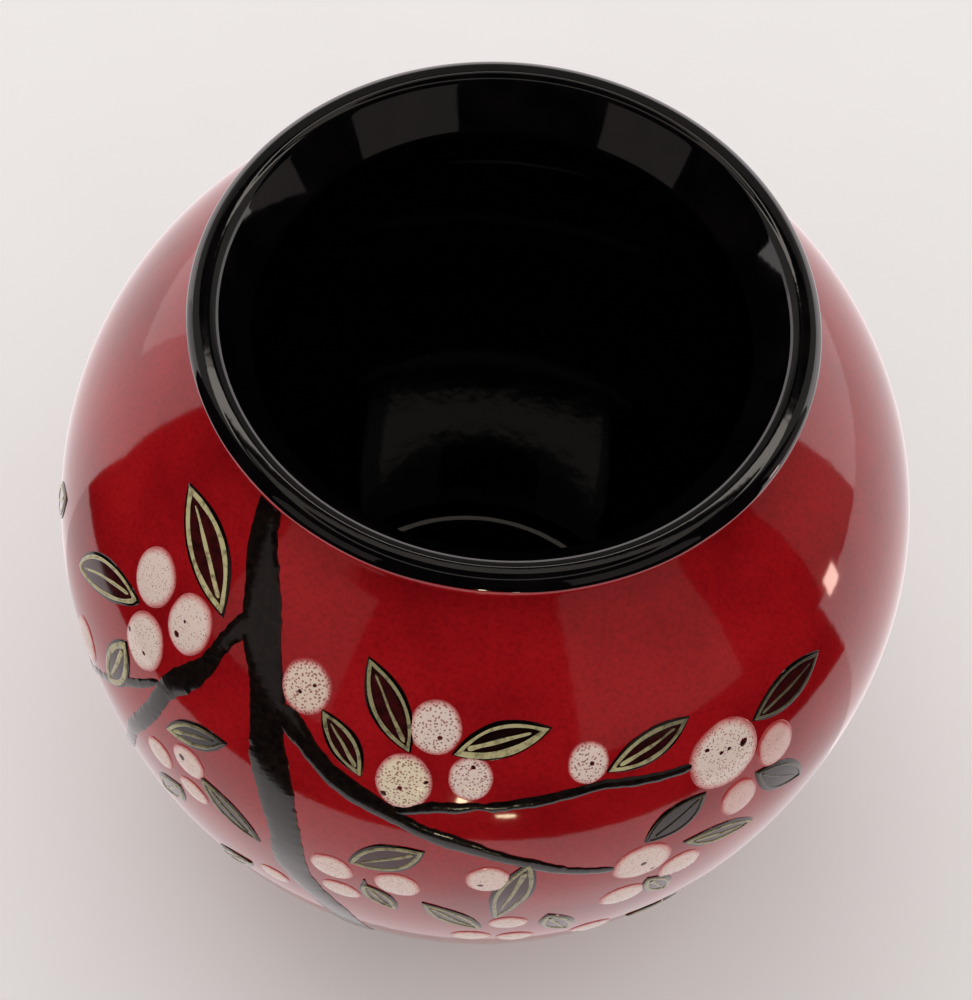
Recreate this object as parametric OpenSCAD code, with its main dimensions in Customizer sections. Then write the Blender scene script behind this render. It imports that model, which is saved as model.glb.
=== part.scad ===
// A globular glazed stoneware vase: one fired clay body with a short neck and a rolled lip,
// a red glaze outside, a black glaze inside, and a fruiting tree laid on the belly in raised
// coloured glazes. The origin is the centre of the foot, +Z is up and -Y is the front.

/* [Belly] */
// Outside diameter at the widest point
belly_d = 220; // [214:1:226]
// Height of the widest point above the foot
belly_z = 135; // [133:0.5:138]
// Rise of the dome that the shoulder follows, above the widest point
shoulder_rise = 100.5; // [98:0.5:103]
// Drop of the bowl that the lower belly follows, below the widest point
bowl_drop = 155; // [153:0.5:157]
// Thickness of the pot's wall with both its glazes
wall = 6; // [5:0.5:7]
// Height of the cavity's floor
floor_z = 13; // [12:0.5:15]

/* [Neck and lip] */
// Outside diameter of the rolled lip
lip_d = 144; // [142:0.5:146]
// Height of the lip's outermost edge above the widest point
lip_rise = 88.5; // [87:0.5:90]
// Radius of the lip's outer rounding
lip_round = 3.4; // [3:0.1:3.8]
// Latitude on the belly at which the neck's hollow begins
neck_lat = 51.5; // [50.5:0.5:52]
// Tilt of the funnel inside the lip, measured from upright
funnel_tilt = 35; // [33:1:37]
// Inside diameter of the throat, its narrowest point
throat_d = 115.4; // [113:0.2:117]
// Radius of the throat's edge
throat_round = 2.3; // [2:0.1:2.6]

/* [Foot] */
// Outside diameter of the foot ring
foot_d = 114; // [110:1:116]
// Width of the foot ring's standing face
foot_face = 6; // [5:0.5:8]
// Depth of the hollow inside the foot ring
foot_hollow = 4.5; // [3.5:0.5:5.5]
// Latitude at which the belly ends above the foot ring
foot_lat = 57; // [56.5:0.25:57]

/* [Glaze] */
// Thickness of the red and black glaze coats
glaze = 0.5; // [0.4:0.1:0.7]
// Height of a branch's crown above the red glaze
branch_relief = 0.45; // [0.3:0.05:0.6]
// Height of a berry's crown above the red glaze
berry_relief = 0.8; // [0.5:0.1:1.1]
// Thickness of a leaf's dark ground
leaf_relief = 0.3; // [0.2:0.05:0.4]
// Height of a leaf's pale lines above its ground
line_relief = 0.25; // [0.15:0.05:0.35]
// Width of a leaf's pale lines
line_w = 1.3; // [1:0.1:1.6]
// Margin of dark ground outside a leaf's pale outline
leaf_margin = 0.8; // [0.5:0.1:1]

/* [Hidden] */

belly_r = belly_d / 2;
foot_r = foot_d / 2;
arc_step = 2.5;          // degrees between the points of the belly's outline
glaze_line = 14;         // angle round the lip's outer rounding where red glaze meets black
clearance = 0.03;        // gap that keeps raised glaze clear of the coat under it
lip_centre = [lip_d / 2 - lip_round, belly_z + lip_rise];

// The lip's inner rounding, and the throat's edge that the straight funnel runs down to
lip_inner_round = lip_round + 0.3;
lip_inner_centre = lip_centre - [1.25, 0.3];
funnel_normal = [-cos(funnel_tilt), sin(funnel_tilt)];
throat_r = throat_d / 2 + throat_round;
throat_centre = [throat_r, throat_height(throat_r)];
inner_lat = neck_lat + 0.5;
cavity_lat = -50;        // latitude at which the cavity's wall turns into its floor

// The neck's hollow is an arc that touches both the belly and the lip's rounding
neck_start = belly(neck_lat, 0);
neck_normal = [cos(lean(neck_lat)), sin(lean(neck_lat))];
neck_gap = neck_start - lip_centre;
neck_fillet = (neck_gap * neck_gap - lip_round * lip_round) / (2 * lip_round - 2 * neck_normal * neck_gap);
neck_centre = neck_start + neck_fillet * neck_normal;
neck_end = atan2(neck_centre[1] - lip_centre[1], neck_centre[0] - lip_centre[0]);
neck_turn = 100 / neck_fillet;   // degrees round the hollow for each degree of latitude

// Heights and slopes of the outline. Latitude runs from 0 at the widest point, up to +90 and down to -90.
function dome(lat) = lat < 0 ? bowl_drop : shoulder_rise;
function lean(lat) = atan2(belly_r * sin(lat), dome(lat) * cos(lat));
function belly(lat, lift) =
    [belly_r * cos(lat), belly_z + dome(lat) * sin(lat)] + lift * [cos(lean(lat)), sin(lean(lat))];
function neck(turn, lift) = neck_centre - (neck_fillet - lift) * [cos(turn), sin(turn)];
function skin(lat, lift) =
    lat <= neck_lat ? belly(lat, lift) : neck(lean(neck_lat) - (lat - neck_lat) * neck_turn, lift);
function throat_height(r) =
    (funnel_normal * lip_inner_centre + lip_inner_round - throat_round - funnel_normal[0] * r)
    / funnel_normal[1];

// Outlines as lists of [radius, height]
function arc(centre, r, from, to, n) =
    [for (i = [0:n]) let (a = from + (to - from) * i / n) centre + r * [cos(a), sin(a)]];
function bend(a, b, c, n) =
    [for (i = [0:n]) let (t = i / n) (1 - t) * (1 - t) * a + 2 * t * (1 - t) * b + t * t * c];
function reversed(list) = [for (i = [len(list) - 1:-1:0]) list[i]];
function tail(list) = [for (i = [1:len(list) - 1]) list[i]];
function belly_line(from, to, lift) =
    let (n = ceil(abs(to - from) / arc_step)) [for (i = [0:n]) belly(from + (to - from) * i / n, lift)];

// The outside, from the foot ring up to the glaze line on the lip
function outer_line(lift) = concat(
    belly_line(-foot_lat, neck_lat, lift),
    [for (i = [1:12]) neck(lean(neck_lat) + (neck_end - lean(neck_lat)) * i / 12, lift)],
    tail(arc(lip_centre, lip_round + lift, neck_end, glaze_line, 12)));

// The inside, from the glaze line over the lip and down to the middle of the floor
function inner_line(depth) = concat(
    arc(lip_centre, lip_round - depth, glaze_line, 90, 8),
    arc(lip_inner_centre, lip_inner_round - depth, 90, 180 - funnel_tilt, 8),
    arc(throat_centre, throat_round - depth, 180 - funnel_tilt, 180 + lean(inner_lat), 10),
    belly_line(inner_lat, cavity_lat, depth - wall),
    tail(bend(belly(cavity_lat, depth - wall), [60, floor_z - depth], [48, floor_z - depth], 6)),
    [[0, floor_z - depth]]);

// Under the pot, from the middle of the hollow out to the foot ring's outer wall
foot_line = [
    [0, foot_hollow + 0.5],
    [foot_r - foot_face - 2.2, foot_hollow],
    [foot_r - foot_face - 1, foot_hollow - 1.2],
    [foot_r - foot_face - 0.8, 0.8],
    [foot_r - foot_face, 0],
    [foot_r - 0.8, 0],
    [foot_r, 0.8],
    [foot_r, belly_z - bowl_drop * sin(foot_lat) - 0.6]
];

// Raised glaze. A place is [longitude, latitude]: longitude 0 faces the front, and grows to the right.
function mm_per_lon(lat) = belly_r * cos(lat) * PI / 180;
function mm_per_lat(lat) = norm([belly_r * sin(lat), dome(lat) * cos(lat)]) * PI / 180;
function moved(place, x, y) =
    let (lat = place[1] + y / mm_per_lat(place[1] + y / 4))
    [place[0] + x / mm_per_lon((place[1] + lat) / 2), lat];
function on_skin(place, lift) =
    let (p = skin(place[1], lift)) [p[0] * sin(place[0]), -p[0] * cos(place[0]), p[1]];
function span_mm(a, b) =
    let (lat = (a[1] + b[1]) / 2)
    [(b[0] - a[0]) * mm_per_lon(lat), (b[1] - a[1]) * (mm_per_lat(a[1]) + mm_per_lat(b[1])) / 2];
function unit(v) = v / norm(v);

// Joins rings of points into one closed skin; each ring goes clockwise seen from beyond the last one
module skinned(rings) {
    n = len(rings[0]);
    last = len(rings) - 1;
    polyhedron(
        points = [for (ring = rings) each ring],
        faces = concat(
            [for (k = [0:last - 1], i = [0:n - 1]) each [
                [k * n + i, k * n + (i + 1) % n, (k + 1) * n + i],
                [(k + 1) * n + i, k * n + (i + 1) % n, (k + 1) * n + (i + 1) % n]]],
            [[for (i = [n - 1:-1:0]) i]],
            [[for (i = [0:n - 1]) last * n + i]]),
        convexity = 6);
}

// One brushed branch through stations of [longitude, latitude, half width]
function stations(path) = [
    for (i = [0:len(path) - 2])
        let (n = max(1, round(norm(span_mm(path[i], path[i + 1])) / 4.5)))
        for (j = [0:n - 1]) path[i] + (path[i + 1] - path[i]) * j / n,
    path[len(path) - 1]
];
function branch_ring(p, side, w) = [
    for (c = [[-1, clearance], [-0.72, branch_relief * 0.8], [0, branch_relief], [0.72, branch_relief * 0.8],
              [1, clearance], [0, clearance]])
        on_skin(moved(p, side[0] * w * c[0], side[1] * w * c[0]), c[1])
];
module branch(path) {
    s = stations(path);
    last = len(s) - 1;
    skinned([for (i = [0:last])
        let (along = unit(span_mm(s[max(i - 1, 0)], s[min(i + 1, last)])), side = [-along[1], along[0]])
        branch_ring(s[i], side, s[i][2])]);
}

// One round drop of glaze, given as [longitude, latitude, width, height]
module berry(b) {
    n = 12;
    rim = [for (k = [0:n - 1]) [cos(k * 360 / n) * b[2] / 2, sin(k * 360 / n) * b[3] / 2]];
    levels = [[0.55, clearance], [1, clearance], [0.86, berry_relief * 0.62], [0.5, berry_relief * 0.92]];
    points = concat(
        [for (l = levels, p = rim) on_skin(moved(b, p[0] * l[0], p[1] * l[0]), l[1])],
        [on_skin(b, clearance), on_skin(b, berry_relief)]);
    under = len(levels) * n;
    polyhedron(points = points, convexity = 4, faces = concat(
        [for (l = [0:len(levels) - 2], i = [0:n - 1]) each [
            [l * n + i, (l + 1) * n + i, l * n + (i + 1) % n],
            [(l + 1) * n + i, (l + 1) * n + (i + 1) % n, l * n + (i + 1) % n]]],
        [for (i = [0:n - 1]) [under, i, (i + 1) % n]],
        [for (i = [0:n - 1]) [under + 1, under - n + (i + 1) % n, under - n + i]]));
}
module berries(list) {
    for (b = list) berry(b);
}

// A leaf is [stalk longitude, stalk latitude, tip longitude, tip latitude, width, sideways bow]
function leaf_middle(l) = [(l[0] + l[2]) / 2, (l[1] + l[3]) / 2];
function leaf_half(l) = norm(span_mm([l[0], l[1]], [l[2], l[3]])) / 2;
function tip_inset(l, d) = d * norm([1, leaf_half(l) / l[4]]);
// A point of the leaf: t runs from -1 at the stalk to 1 at the tip, side is in millimetres
function leaf_point(l, t, side, lift) =
    let (
        along = unit(span_mm([l[0], l[1]], [l[2], l[3]])),
        across = [along[1], -along[0]],
        off = side + l[5] * (1 - t * t),
        at = along * t * leaf_half(l) + across * off)
    on_skin(moved(leaf_middle(l), at[0], at[1]), lift);
// The outline shrunk by d: half its length as a share of the leaf, and half its width
function leaf_loop(l, d) = [1 - tip_inset(l, d) / leaf_half(l), l[4] / 2 - d];
leaf_steps = 6;
function loop_points(l, d, lift) =
    let (size = leaf_loop(l, d))
    [for (k = [0:2 * leaf_steps - 1])
        let (t = -cos(180 * k / leaf_steps), s = k < leaf_steps ? 1 : -1)
        leaf_point(l, t * size[0], s * size[1] * (1 - t * t), lift)];

module leaf_ground(l) {
    n = leaf_steps;
    ts = [for (k = [1:n - 1]) -cos(180 * k / n)];
    half = l[4] / 2 + leaf_margin;
    reach = 1 + tip_inset(l, leaf_margin) / leaf_half(l);
    skinned([for (t = concat([-0.97], ts, [0.97]))
        let (w = half * (1 - t * t))
        [leaf_point(l, t * reach, w, clearance), leaf_point(l, t * reach, w * 0.85, leaf_relief),
         leaf_point(l, t * reach, -w * 0.85, leaf_relief), leaf_point(l, t * reach, -w, clearance),
         leaf_point(l, t * reach, 0, clearance)]]);
}

// The pale lines of a leaf: a closed outline, and a midrib that tapers to the tip
module leaf_outline(l) {
    n = 2 * leaf_steps;
    low = leaf_relief + clearance;
    high = leaf_relief + line_relief;
    rows = [loop_points(l, 0, low), loop_points(l, 0.2, high),
            loop_points(l, line_w - 0.2, high), loop_points(l, line_w, low)];
    polyhedron(points = [for (r = rows) each r], convexity = 6, faces = [
        for (r = [0:3], i = [0:n - 1])
            let (a = r * n, b = (r + 1) % 4 * n, j = (i + 1) % n)
            each [[a + i, b + i, a + j], [b + i, b + j, a + j]]]);
}
module leaf_midrib(l) {
    low = leaf_relief + clearance;
    high = leaf_relief + line_relief;
    size = leaf_loop(l, line_w + 0.3);
    skinned([for (k = [0:4])
        let (t = size[0] * (-0.78 + k * 0.34), w = line_w / 2 * (1 - k * 0.12))
        [leaf_point(l, t, w, low), leaf_point(l, t, w * 0.7, high),
         leaf_point(l, t, -w * 0.7, high), leaf_point(l, t, -w, low)]]);
}
module leaf_lines(list) {
    for (l = list) {
        leaf_outline(l);
        leaf_midrib(l);
    }
}
module leaf_grounds(list) {
    for (l = list) leaf_ground(l);
}

// Where the tree grows: branches as [longitude, latitude, half width in mm]
trunk_path = [
    [-44.5, 53.8, 3], [-42, 50, 3.2], [-39.5, 47, 3.8], [-36.5, 44, 4.4], [-34, 41, 4.8], [-32.5, 38, 5.4],
    [-29.8, 34.5, 4.7], [-28, 31.5, 4.6], [-26.8, 28.5, 4.8], [-26, 25, 4.4], [-24.7, 21, 5.4],
    [-23.2, 17, 5.2], [-22.2, 13, 4.9], [-21.2, 9.5, 4.5], [-20.6, 5.5, 4.5], [-20.4, 2, 4.7],
    [-20, -2, 5], [-17.8, -6, 4.4], [-15, -11, 4.6], [-13.5, -16, 4.2], [-12.5, -23, 4.8],
    [-13.5, -31, 5], [-11.5, -39, 5.6], [-12.5, -47, 6.2], [-12, -54, 7]
];
left_bough_path = [
    [-33.6, 38.8, 3.2], [-35.6, 36.2, 2.5], [-36.5, 33.5, 2], [-37, 31.2, 2.1], [-37.4, 28.5, 2.4],
    [-38.8, 25.4, 3.2], [-40, 23, 3.5], [-41.3, 20.8, 3], [-42, 18.5, 2.6], [-43, 13, 2.5], [-44.6, 8, 2.4],
    [-46.4, 3, 2.3], [-48, -2, 2.1], [-50, -7, 1.9], [-54, -13, 1.6], [-57, -18, 1.1]
];
left_fork_path = [
    [-43.4, 19.2, 1.1], [-45.5, 16, 1.3], [-47.7, 13, 1.3], [-50, 9.8, 1.2], [-52.5, 6.3, 1.3],
    [-55.5, 2, 1.2], [-59, -3, 1.1], [-64, -6, 1], [-70, -7, 0.8]
];
right_bough_path = [
    [-25.6, 30.2, 3.8], [-22.8, 28.4, 3.4], [-20.5, 26.8, 2.7], [-17.7, 24.6, 2.7], [-14.5, 22.7, 3.3],
    [-11, 21.3, 3.1], [-7, 19.6, 2.4], [-4, 18, 2.1], [0, 16.6, 2.8], [3.3, 15.3, 2.2], [6, 13.9, 1.9],
    [9, 12.6, 2], [11.5, 11.1, 1.9], [14.5, 9.4, 1.6], [17.5, 8.2, 1.4], [21.2, 6.9, 1.3]
];
upper_twig_path = [
    [-8.6, 20.2, 1.5], [-5.4, 21.6, 1.5], [-2.5, 22.7, 1.7], [0, 22.9, 1.7], [2.8, 23.5, 1.1], [5, 23.5, 1.5],
    [10, 24.2, 1.7], [15, 25.1, 1.5], [19.5, 25.6, 1.4], [23, 24.8, 1.5], [27, 24.2, 1.4], [32.4, 23.5, 1.2]
];
back_trunk_path = [
    [160, -54, 6.5], [163, -44, 5.6], [166, -34, 5], [164, -24, 4.8], [168, -14, 5.2], [172, -4, 4.6],
    [171, 6, 4.2], [175, 16, 4.4], [178, 26, 3.4], [184, 36, 3], [188, 46, 2.4], [190, 51, 2]
];
back_left_bough_path = [
    [176, 13.5, 2.8], [184, 18, 2.8], [196, 19, 2.7], [208, 24, 2.2], [220, 24, 1.9], [232, 18, 1.4],
    [242, 12.5, 1]
];
back_right_bough_path = [
    [171, -7, 3], [165, -3, 3], [157, 2, 3], [146, 6, 2.6], [134, 12, 2.3], [124, 13, 1.8],
    [112, 7, 1.4], [104, 3, 1.1]
];
back_low_paths = [
    [[161, -26, 2.3], [151, -22, 2.2], [140, -16, 1.9], [128, -16, 1.5], [118, -11, 1.1]],
    [[168, -34, 2.3], [179, -28, 2.2], [192, -20, 2], [205, -18, 1.6], [217, -12, 1.1]]
];

// Berries as [longitude, latitude, width, height], the sizes in mm
left_berries = [[-51.3, 31.6, 13.2, 15.6], [-42.6, 31.2, 12.8, 16.4], [-47.8, 22.5, 13.3, 17.2]];
trunk_berries = [[-22.8, 34.6, 12.2, 14.2]];
centre_berries = [[-3.7, 34.8, 12.1, 14.1], [-6.8, 25.9, 13, 16], [1.8, 28, 10.1, 12.8]];
right_berries = [
    [17.4, 29.5, 9.5, 12], [36.4, 22.8, 19, 21], [44.3, 18.6, 11.2, 15], [38.1, 12.5, 10.9, 14]
];
low_left_berries = [
    [-35.8, 9.4, 10.6, 11.4], [-40.9, 4.2, 9.4, 11.4], [-34.8, 2.2, 9.8, 9.4], [-59.5, 5, 12, 15],
    [-23, -8, 8.5, 9.5]
];
low_centre_berries = [
    [-14.4, 3.2, 11.2, 12.4], [-6, 3.3, 11.6, 12.4], [-13.2, -2.9, 10.4, 10.4], [5.1, 8.1, 11, 12]
];
low_right_berries = [[24.6, 6.7, 15.4, 16.2], [23, -2.8, 12, 13.4], [30.2, 0.9, 11.6, 13.8]];
under_berries = [[8.5, -6.2, 10, 11], [4, -12.2, 10.5, 11], [10, -13, 10, 11], [20.8, -14.5, 11.5, 12.5]];
back_left_berries = [
    [201, 27.5, 12.5, 14], [211, 31.5, 11, 12.5], [219.5, 29, 11.5, 13], [246, 13.5, 12.5, 14],
    [253, 8, 12, 13.5], [246, 3.5, 11, 12.5]
];
back_right_berries = [
    [97.5, 4, 13, 14.5], [92, -2, 12, 14], [101, -4.5, 11, 12.5], [127, 17.8, 11, 12.5],
    [138, 17, 12, 13.5], [147, 12.8, 10.5, 12]
];
back_low_berries = [
    [112, -8, 12, 13], [108, -14.5, 11, 12], [132, -9.5, 11, 12], [144, -26, 11.5, 12.5],
    [197, -13, 11.5, 12.5], [222, -8.5, 12, 13], [227, -14.5, 11, 12]
];

// Leaves as [stalk longitude, stalk latitude, tip longitude, tip latitude, width, sideways bow]
left_leaves = [
    [-38.6, 36.2, -56.6, 44, 10.4, 2], [-52, 26.3, -65, 15.8, 9, 2], [-50.6, 18.6, -52.2, 6.5, 8.6, -0.7]
];
centre_leaves = [
    [-12.4, 25.2, -19.4, 32.5, 6.2, 0.7], [-6.6, 30.8, -15, 41.5, 7.8, 0.3], [-0.8, 31.5, 12.2, 35.3, 7.8, -1]
];
right_leaves = [
    [20, 27.6, 32, 31.6, 7.4, 0], [41.7, 25.6, 54.6, 27.2, 9, 0], [33, 17.6, 24.8, 12, 8.8, 0],
    [41, 15.5, 49, 5.5, 8.2, 0]
];
low_left_leaves = [
    [-40, 12.5, -31, 19.2, 6.8, -0.5], [-33.5, 8.3, -24.5, 0.5, 7.6, 0], [-37.5, 0, -42, -8, 8, 0],
    [-75.5, 15, -79.5, 5, 8, 1], [-27, -9.5, -33, -16, 7.6, 1]
];
low_centre_leaves = [
    [-3.2, 13.6, -12.1, 6.9, 9.4, 0], [-10.2, 1.4, -6, -5, 6.2, 0.5], [-2.6, -1.2, 5, -8.2, 7, 0],
    [10, 10.4, 6.6, -2.4, 8, 0]
];
low_right_leaves = [
    [30.3, 8, 41, 2.6, 7, 0], [26, 0.5, 29.6, -6.6, 6.2, 0], [13.5, -4.4, 17, -11.4, 7, 0.5],
    [26.5, -15.5, 36, -19.5, 8, 0.6]
];
back_leaves = [
    [233, 15.5, 227.5, 21.5, 7.6, 0.6], [256.5, 4.5, 265, -1.5, 8.4, -1], [212, 21.5, 221, 15.5, 8, 0.6],
    [190, 22.5, 196, 34, 8, 0.6], [110.5, 8.5, 115.5, 15.5, 7.6, -0.6], [88, -5.5, 80, -11, 8, 0.6],
    [129, 9.5, 121, 2, 7.8, 0.5], [152, 0.5, 147, -8.5, 8, 0.8], [121, -16, 116, -25, 7.8, 0.6],
    [136, -18, 130, -27, 7.6, 0.4], [185, -24, 192, -33, 8, 0.6], [208, -18.5, 214, -27, 7.8, 0.5],
    [103, -11, 92, -8, 8, 0.8], [229, -10, 240, -7, 8, -0.8], [155, -24, 150, -34, 8, 0.5]
];

// One module per piece
module clay_body() {
    color("tan") rotate_extrude($fn = 180)
        polygon(concat(outer_line(-glaze), tail(inner_line(glaze)), foot_line));
}
module red_glaze() {
    color("firebrick") rotate_extrude($fn = 180)
        polygon(concat(outer_line(0), reversed(outer_line(-glaze))));
}
module black_glaze() {
    color("#181414") rotate_extrude($fn = 180)
        polygon(concat(inner_line(0), reversed(inner_line(glaze))));
}
module trunk() {
    color("#231c18") branch(trunk_path);
}
module left_bough() {
    color("#231c18") branch(left_bough_path);
}
module left_fork() {
    color("#231c18") branch(left_fork_path);
}
module right_bough() {
    color("#231c18") branch(right_bough_path);
}
module upper_twig() {
    color("#231c18") branch(upper_twig_path);
}
module back_trunk() {
    color("#231c18") branch(back_trunk_path);
}
module back_left_bough() {
    color("#231c18") branch(back_left_bough_path);
}
module back_right_bough() {
    color("#231c18") branch(back_right_bough_path);
}
module back_low_boughs() {
    color("#231c18") for (path = back_low_paths) branch(path);
}
module fruit(list) {
    color("mistyrose") berries(list);
}
module foliage(list) {
    color("#3c1412") leaf_grounds(list);
}
module veins(list) {
    color("#afaf7d") leaf_lines(list);
}

clay_body();
red_glaze();
black_glaze();
trunk();
left_bough();
left_fork();
right_bough();
upper_twig();
back_trunk();
back_left_bough();
back_right_bough();
back_low_boughs();
fruit(left_berries);  // berries_left
fruit(trunk_berries);  // berries_by_trunk
fruit(centre_berries);  // berries_centre
fruit(right_berries);  // berries_right
fruit(low_left_berries);  // berries_low_left
fruit(low_centre_berries);  // berries_low_centre
fruit(low_right_berries);  // berries_low_right
fruit(under_berries);  // berries_under
fruit(back_left_berries);  // berries_back_left
fruit(back_right_berries);  // berries_back_right
fruit(back_low_berries);  // berries_back_low
foliage(left_leaves);  // leaves_left
foliage(centre_leaves);  // leaves_centre
foliage(right_leaves);  // leaves_right
foliage(low_left_leaves);  // leaves_low_left
foliage(low_centre_leaves);  // leaves_low_centre
foliage(low_right_leaves);  // leaves_low_right
foliage(back_leaves);  // leaves_back
veins(left_leaves);  // leaf_lines_left
veins(centre_leaves);  // leaf_lines_centre
veins(right_leaves);  // leaf_lines_right
veins(low_left_leaves);  // leaf_lines_low_left
veins(low_centre_leaves);  // leaf_lines_low_centre
veins(low_right_leaves);  // leaf_lines_low_right
veins(back_leaves);  // leaf_lines_back
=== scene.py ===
"""A globular stoneware vase: red glaze outside, black glaze inside, and a fruiting tree in raised glazes.

Everything is in metres once it is placed. +Z is up, -Y is the front, and the origin is the centre
of the foot. Outlines and decoration are worked out in millimetres, as a potter would measure them.
"""

import logging
import math
from dataclasses import dataclass
from enum import Enum
from functools import cached_property
from typing import Callable, Optional, Sequence

import bmesh
import bpy
from mathutils import Matrix, Vector, noise


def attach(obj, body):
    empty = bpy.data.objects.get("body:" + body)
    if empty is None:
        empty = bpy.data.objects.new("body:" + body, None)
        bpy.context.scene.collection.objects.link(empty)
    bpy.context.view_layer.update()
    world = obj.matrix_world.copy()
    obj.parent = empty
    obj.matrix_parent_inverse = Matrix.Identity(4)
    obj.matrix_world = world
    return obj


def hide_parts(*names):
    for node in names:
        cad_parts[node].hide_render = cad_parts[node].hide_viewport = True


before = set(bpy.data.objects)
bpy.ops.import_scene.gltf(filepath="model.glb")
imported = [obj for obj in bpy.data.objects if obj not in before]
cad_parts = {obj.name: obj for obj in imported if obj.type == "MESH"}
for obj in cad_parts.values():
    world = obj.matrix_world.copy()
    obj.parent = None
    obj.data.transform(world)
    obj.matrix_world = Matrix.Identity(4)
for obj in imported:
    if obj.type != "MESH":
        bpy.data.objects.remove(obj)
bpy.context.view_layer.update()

log = logging.getLogger("vase")

MM = 0.001
TURN_STEPS = 192          # segments round the pot
SUNK = 0.06               # mm that a raised glaze's rim lies under the surface of the coat
SHARP_ANGLE = math.radians(50)
CARD_STEPS = 32           # segments of a curved studio card
CAMERA_SENSOR_MM = 36.0

Place = tuple[float, float]
Colour = tuple[float, float, float, float]


def sin_of(angle: float) -> float:
    """The sine of an angle in degrees."""
    return math.sin(math.radians(angle))


def cos_of(angle: float) -> float:
    """The cosine of an angle in degrees."""
    return math.cos(math.radians(angle))


def linear(code: str) -> Colour:
    """Turns an sRGB colour into the linear one that shaders read.

    Args:
        code: The colour as six hex digits after a hash.

    Returns:
        Linear red, green, blue and a full alpha.
    """
    shares = [int(code[i:i + 2], 16) / 255 for i in (1, 3, 5)]
    red, green, blue = (c / 12.92 if c <= 0.04045 else ((c + 0.055) / 1.055) ** 2.4 for c in shares)
    return red, green, blue, 1.0


def per_metre(size_mm: float) -> float:
    """The texture scale that gives features of a size in millimetres on object coordinates."""
    return 1000.0 / size_mm


def add_node(tree: bpy.types.NodeTree, kind: str, inputs: Optional[dict] = None,
             stops: Sequence[tuple[float, str]] = (), **settings: object) -> bpy.types.Node:
    """Adds one node with its settings and links.

    Args:
        tree: The node tree to add to.
        kind: The node's type name.
        inputs: Input names or numbers, each with a value or with the socket that feeds it.
        stops: For a colour ramp, its positions and hex colours.
        settings: Properties of the node itself.

    Returns:
        The new node.
    """
    made = tree.nodes.new(kind)
    for name, value in settings.items():
        setattr(made, name, value)
    for key, value in (inputs or {}).items():
        if isinstance(value, bpy.types.NodeSocket):
            tree.links.new(value, made.inputs[key])
        else:
            made.inputs[key].default_value = value
    if stops:
        elements = made.color_ramp.elements
        while len(elements) < len(stops):
            elements.new(0.5)
        for element, (position, code) in zip(elements, stops):
            element.position, element.color = position, linear(code)
    return made


# ------------------------------------------------------------------------------------- the outline


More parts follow.
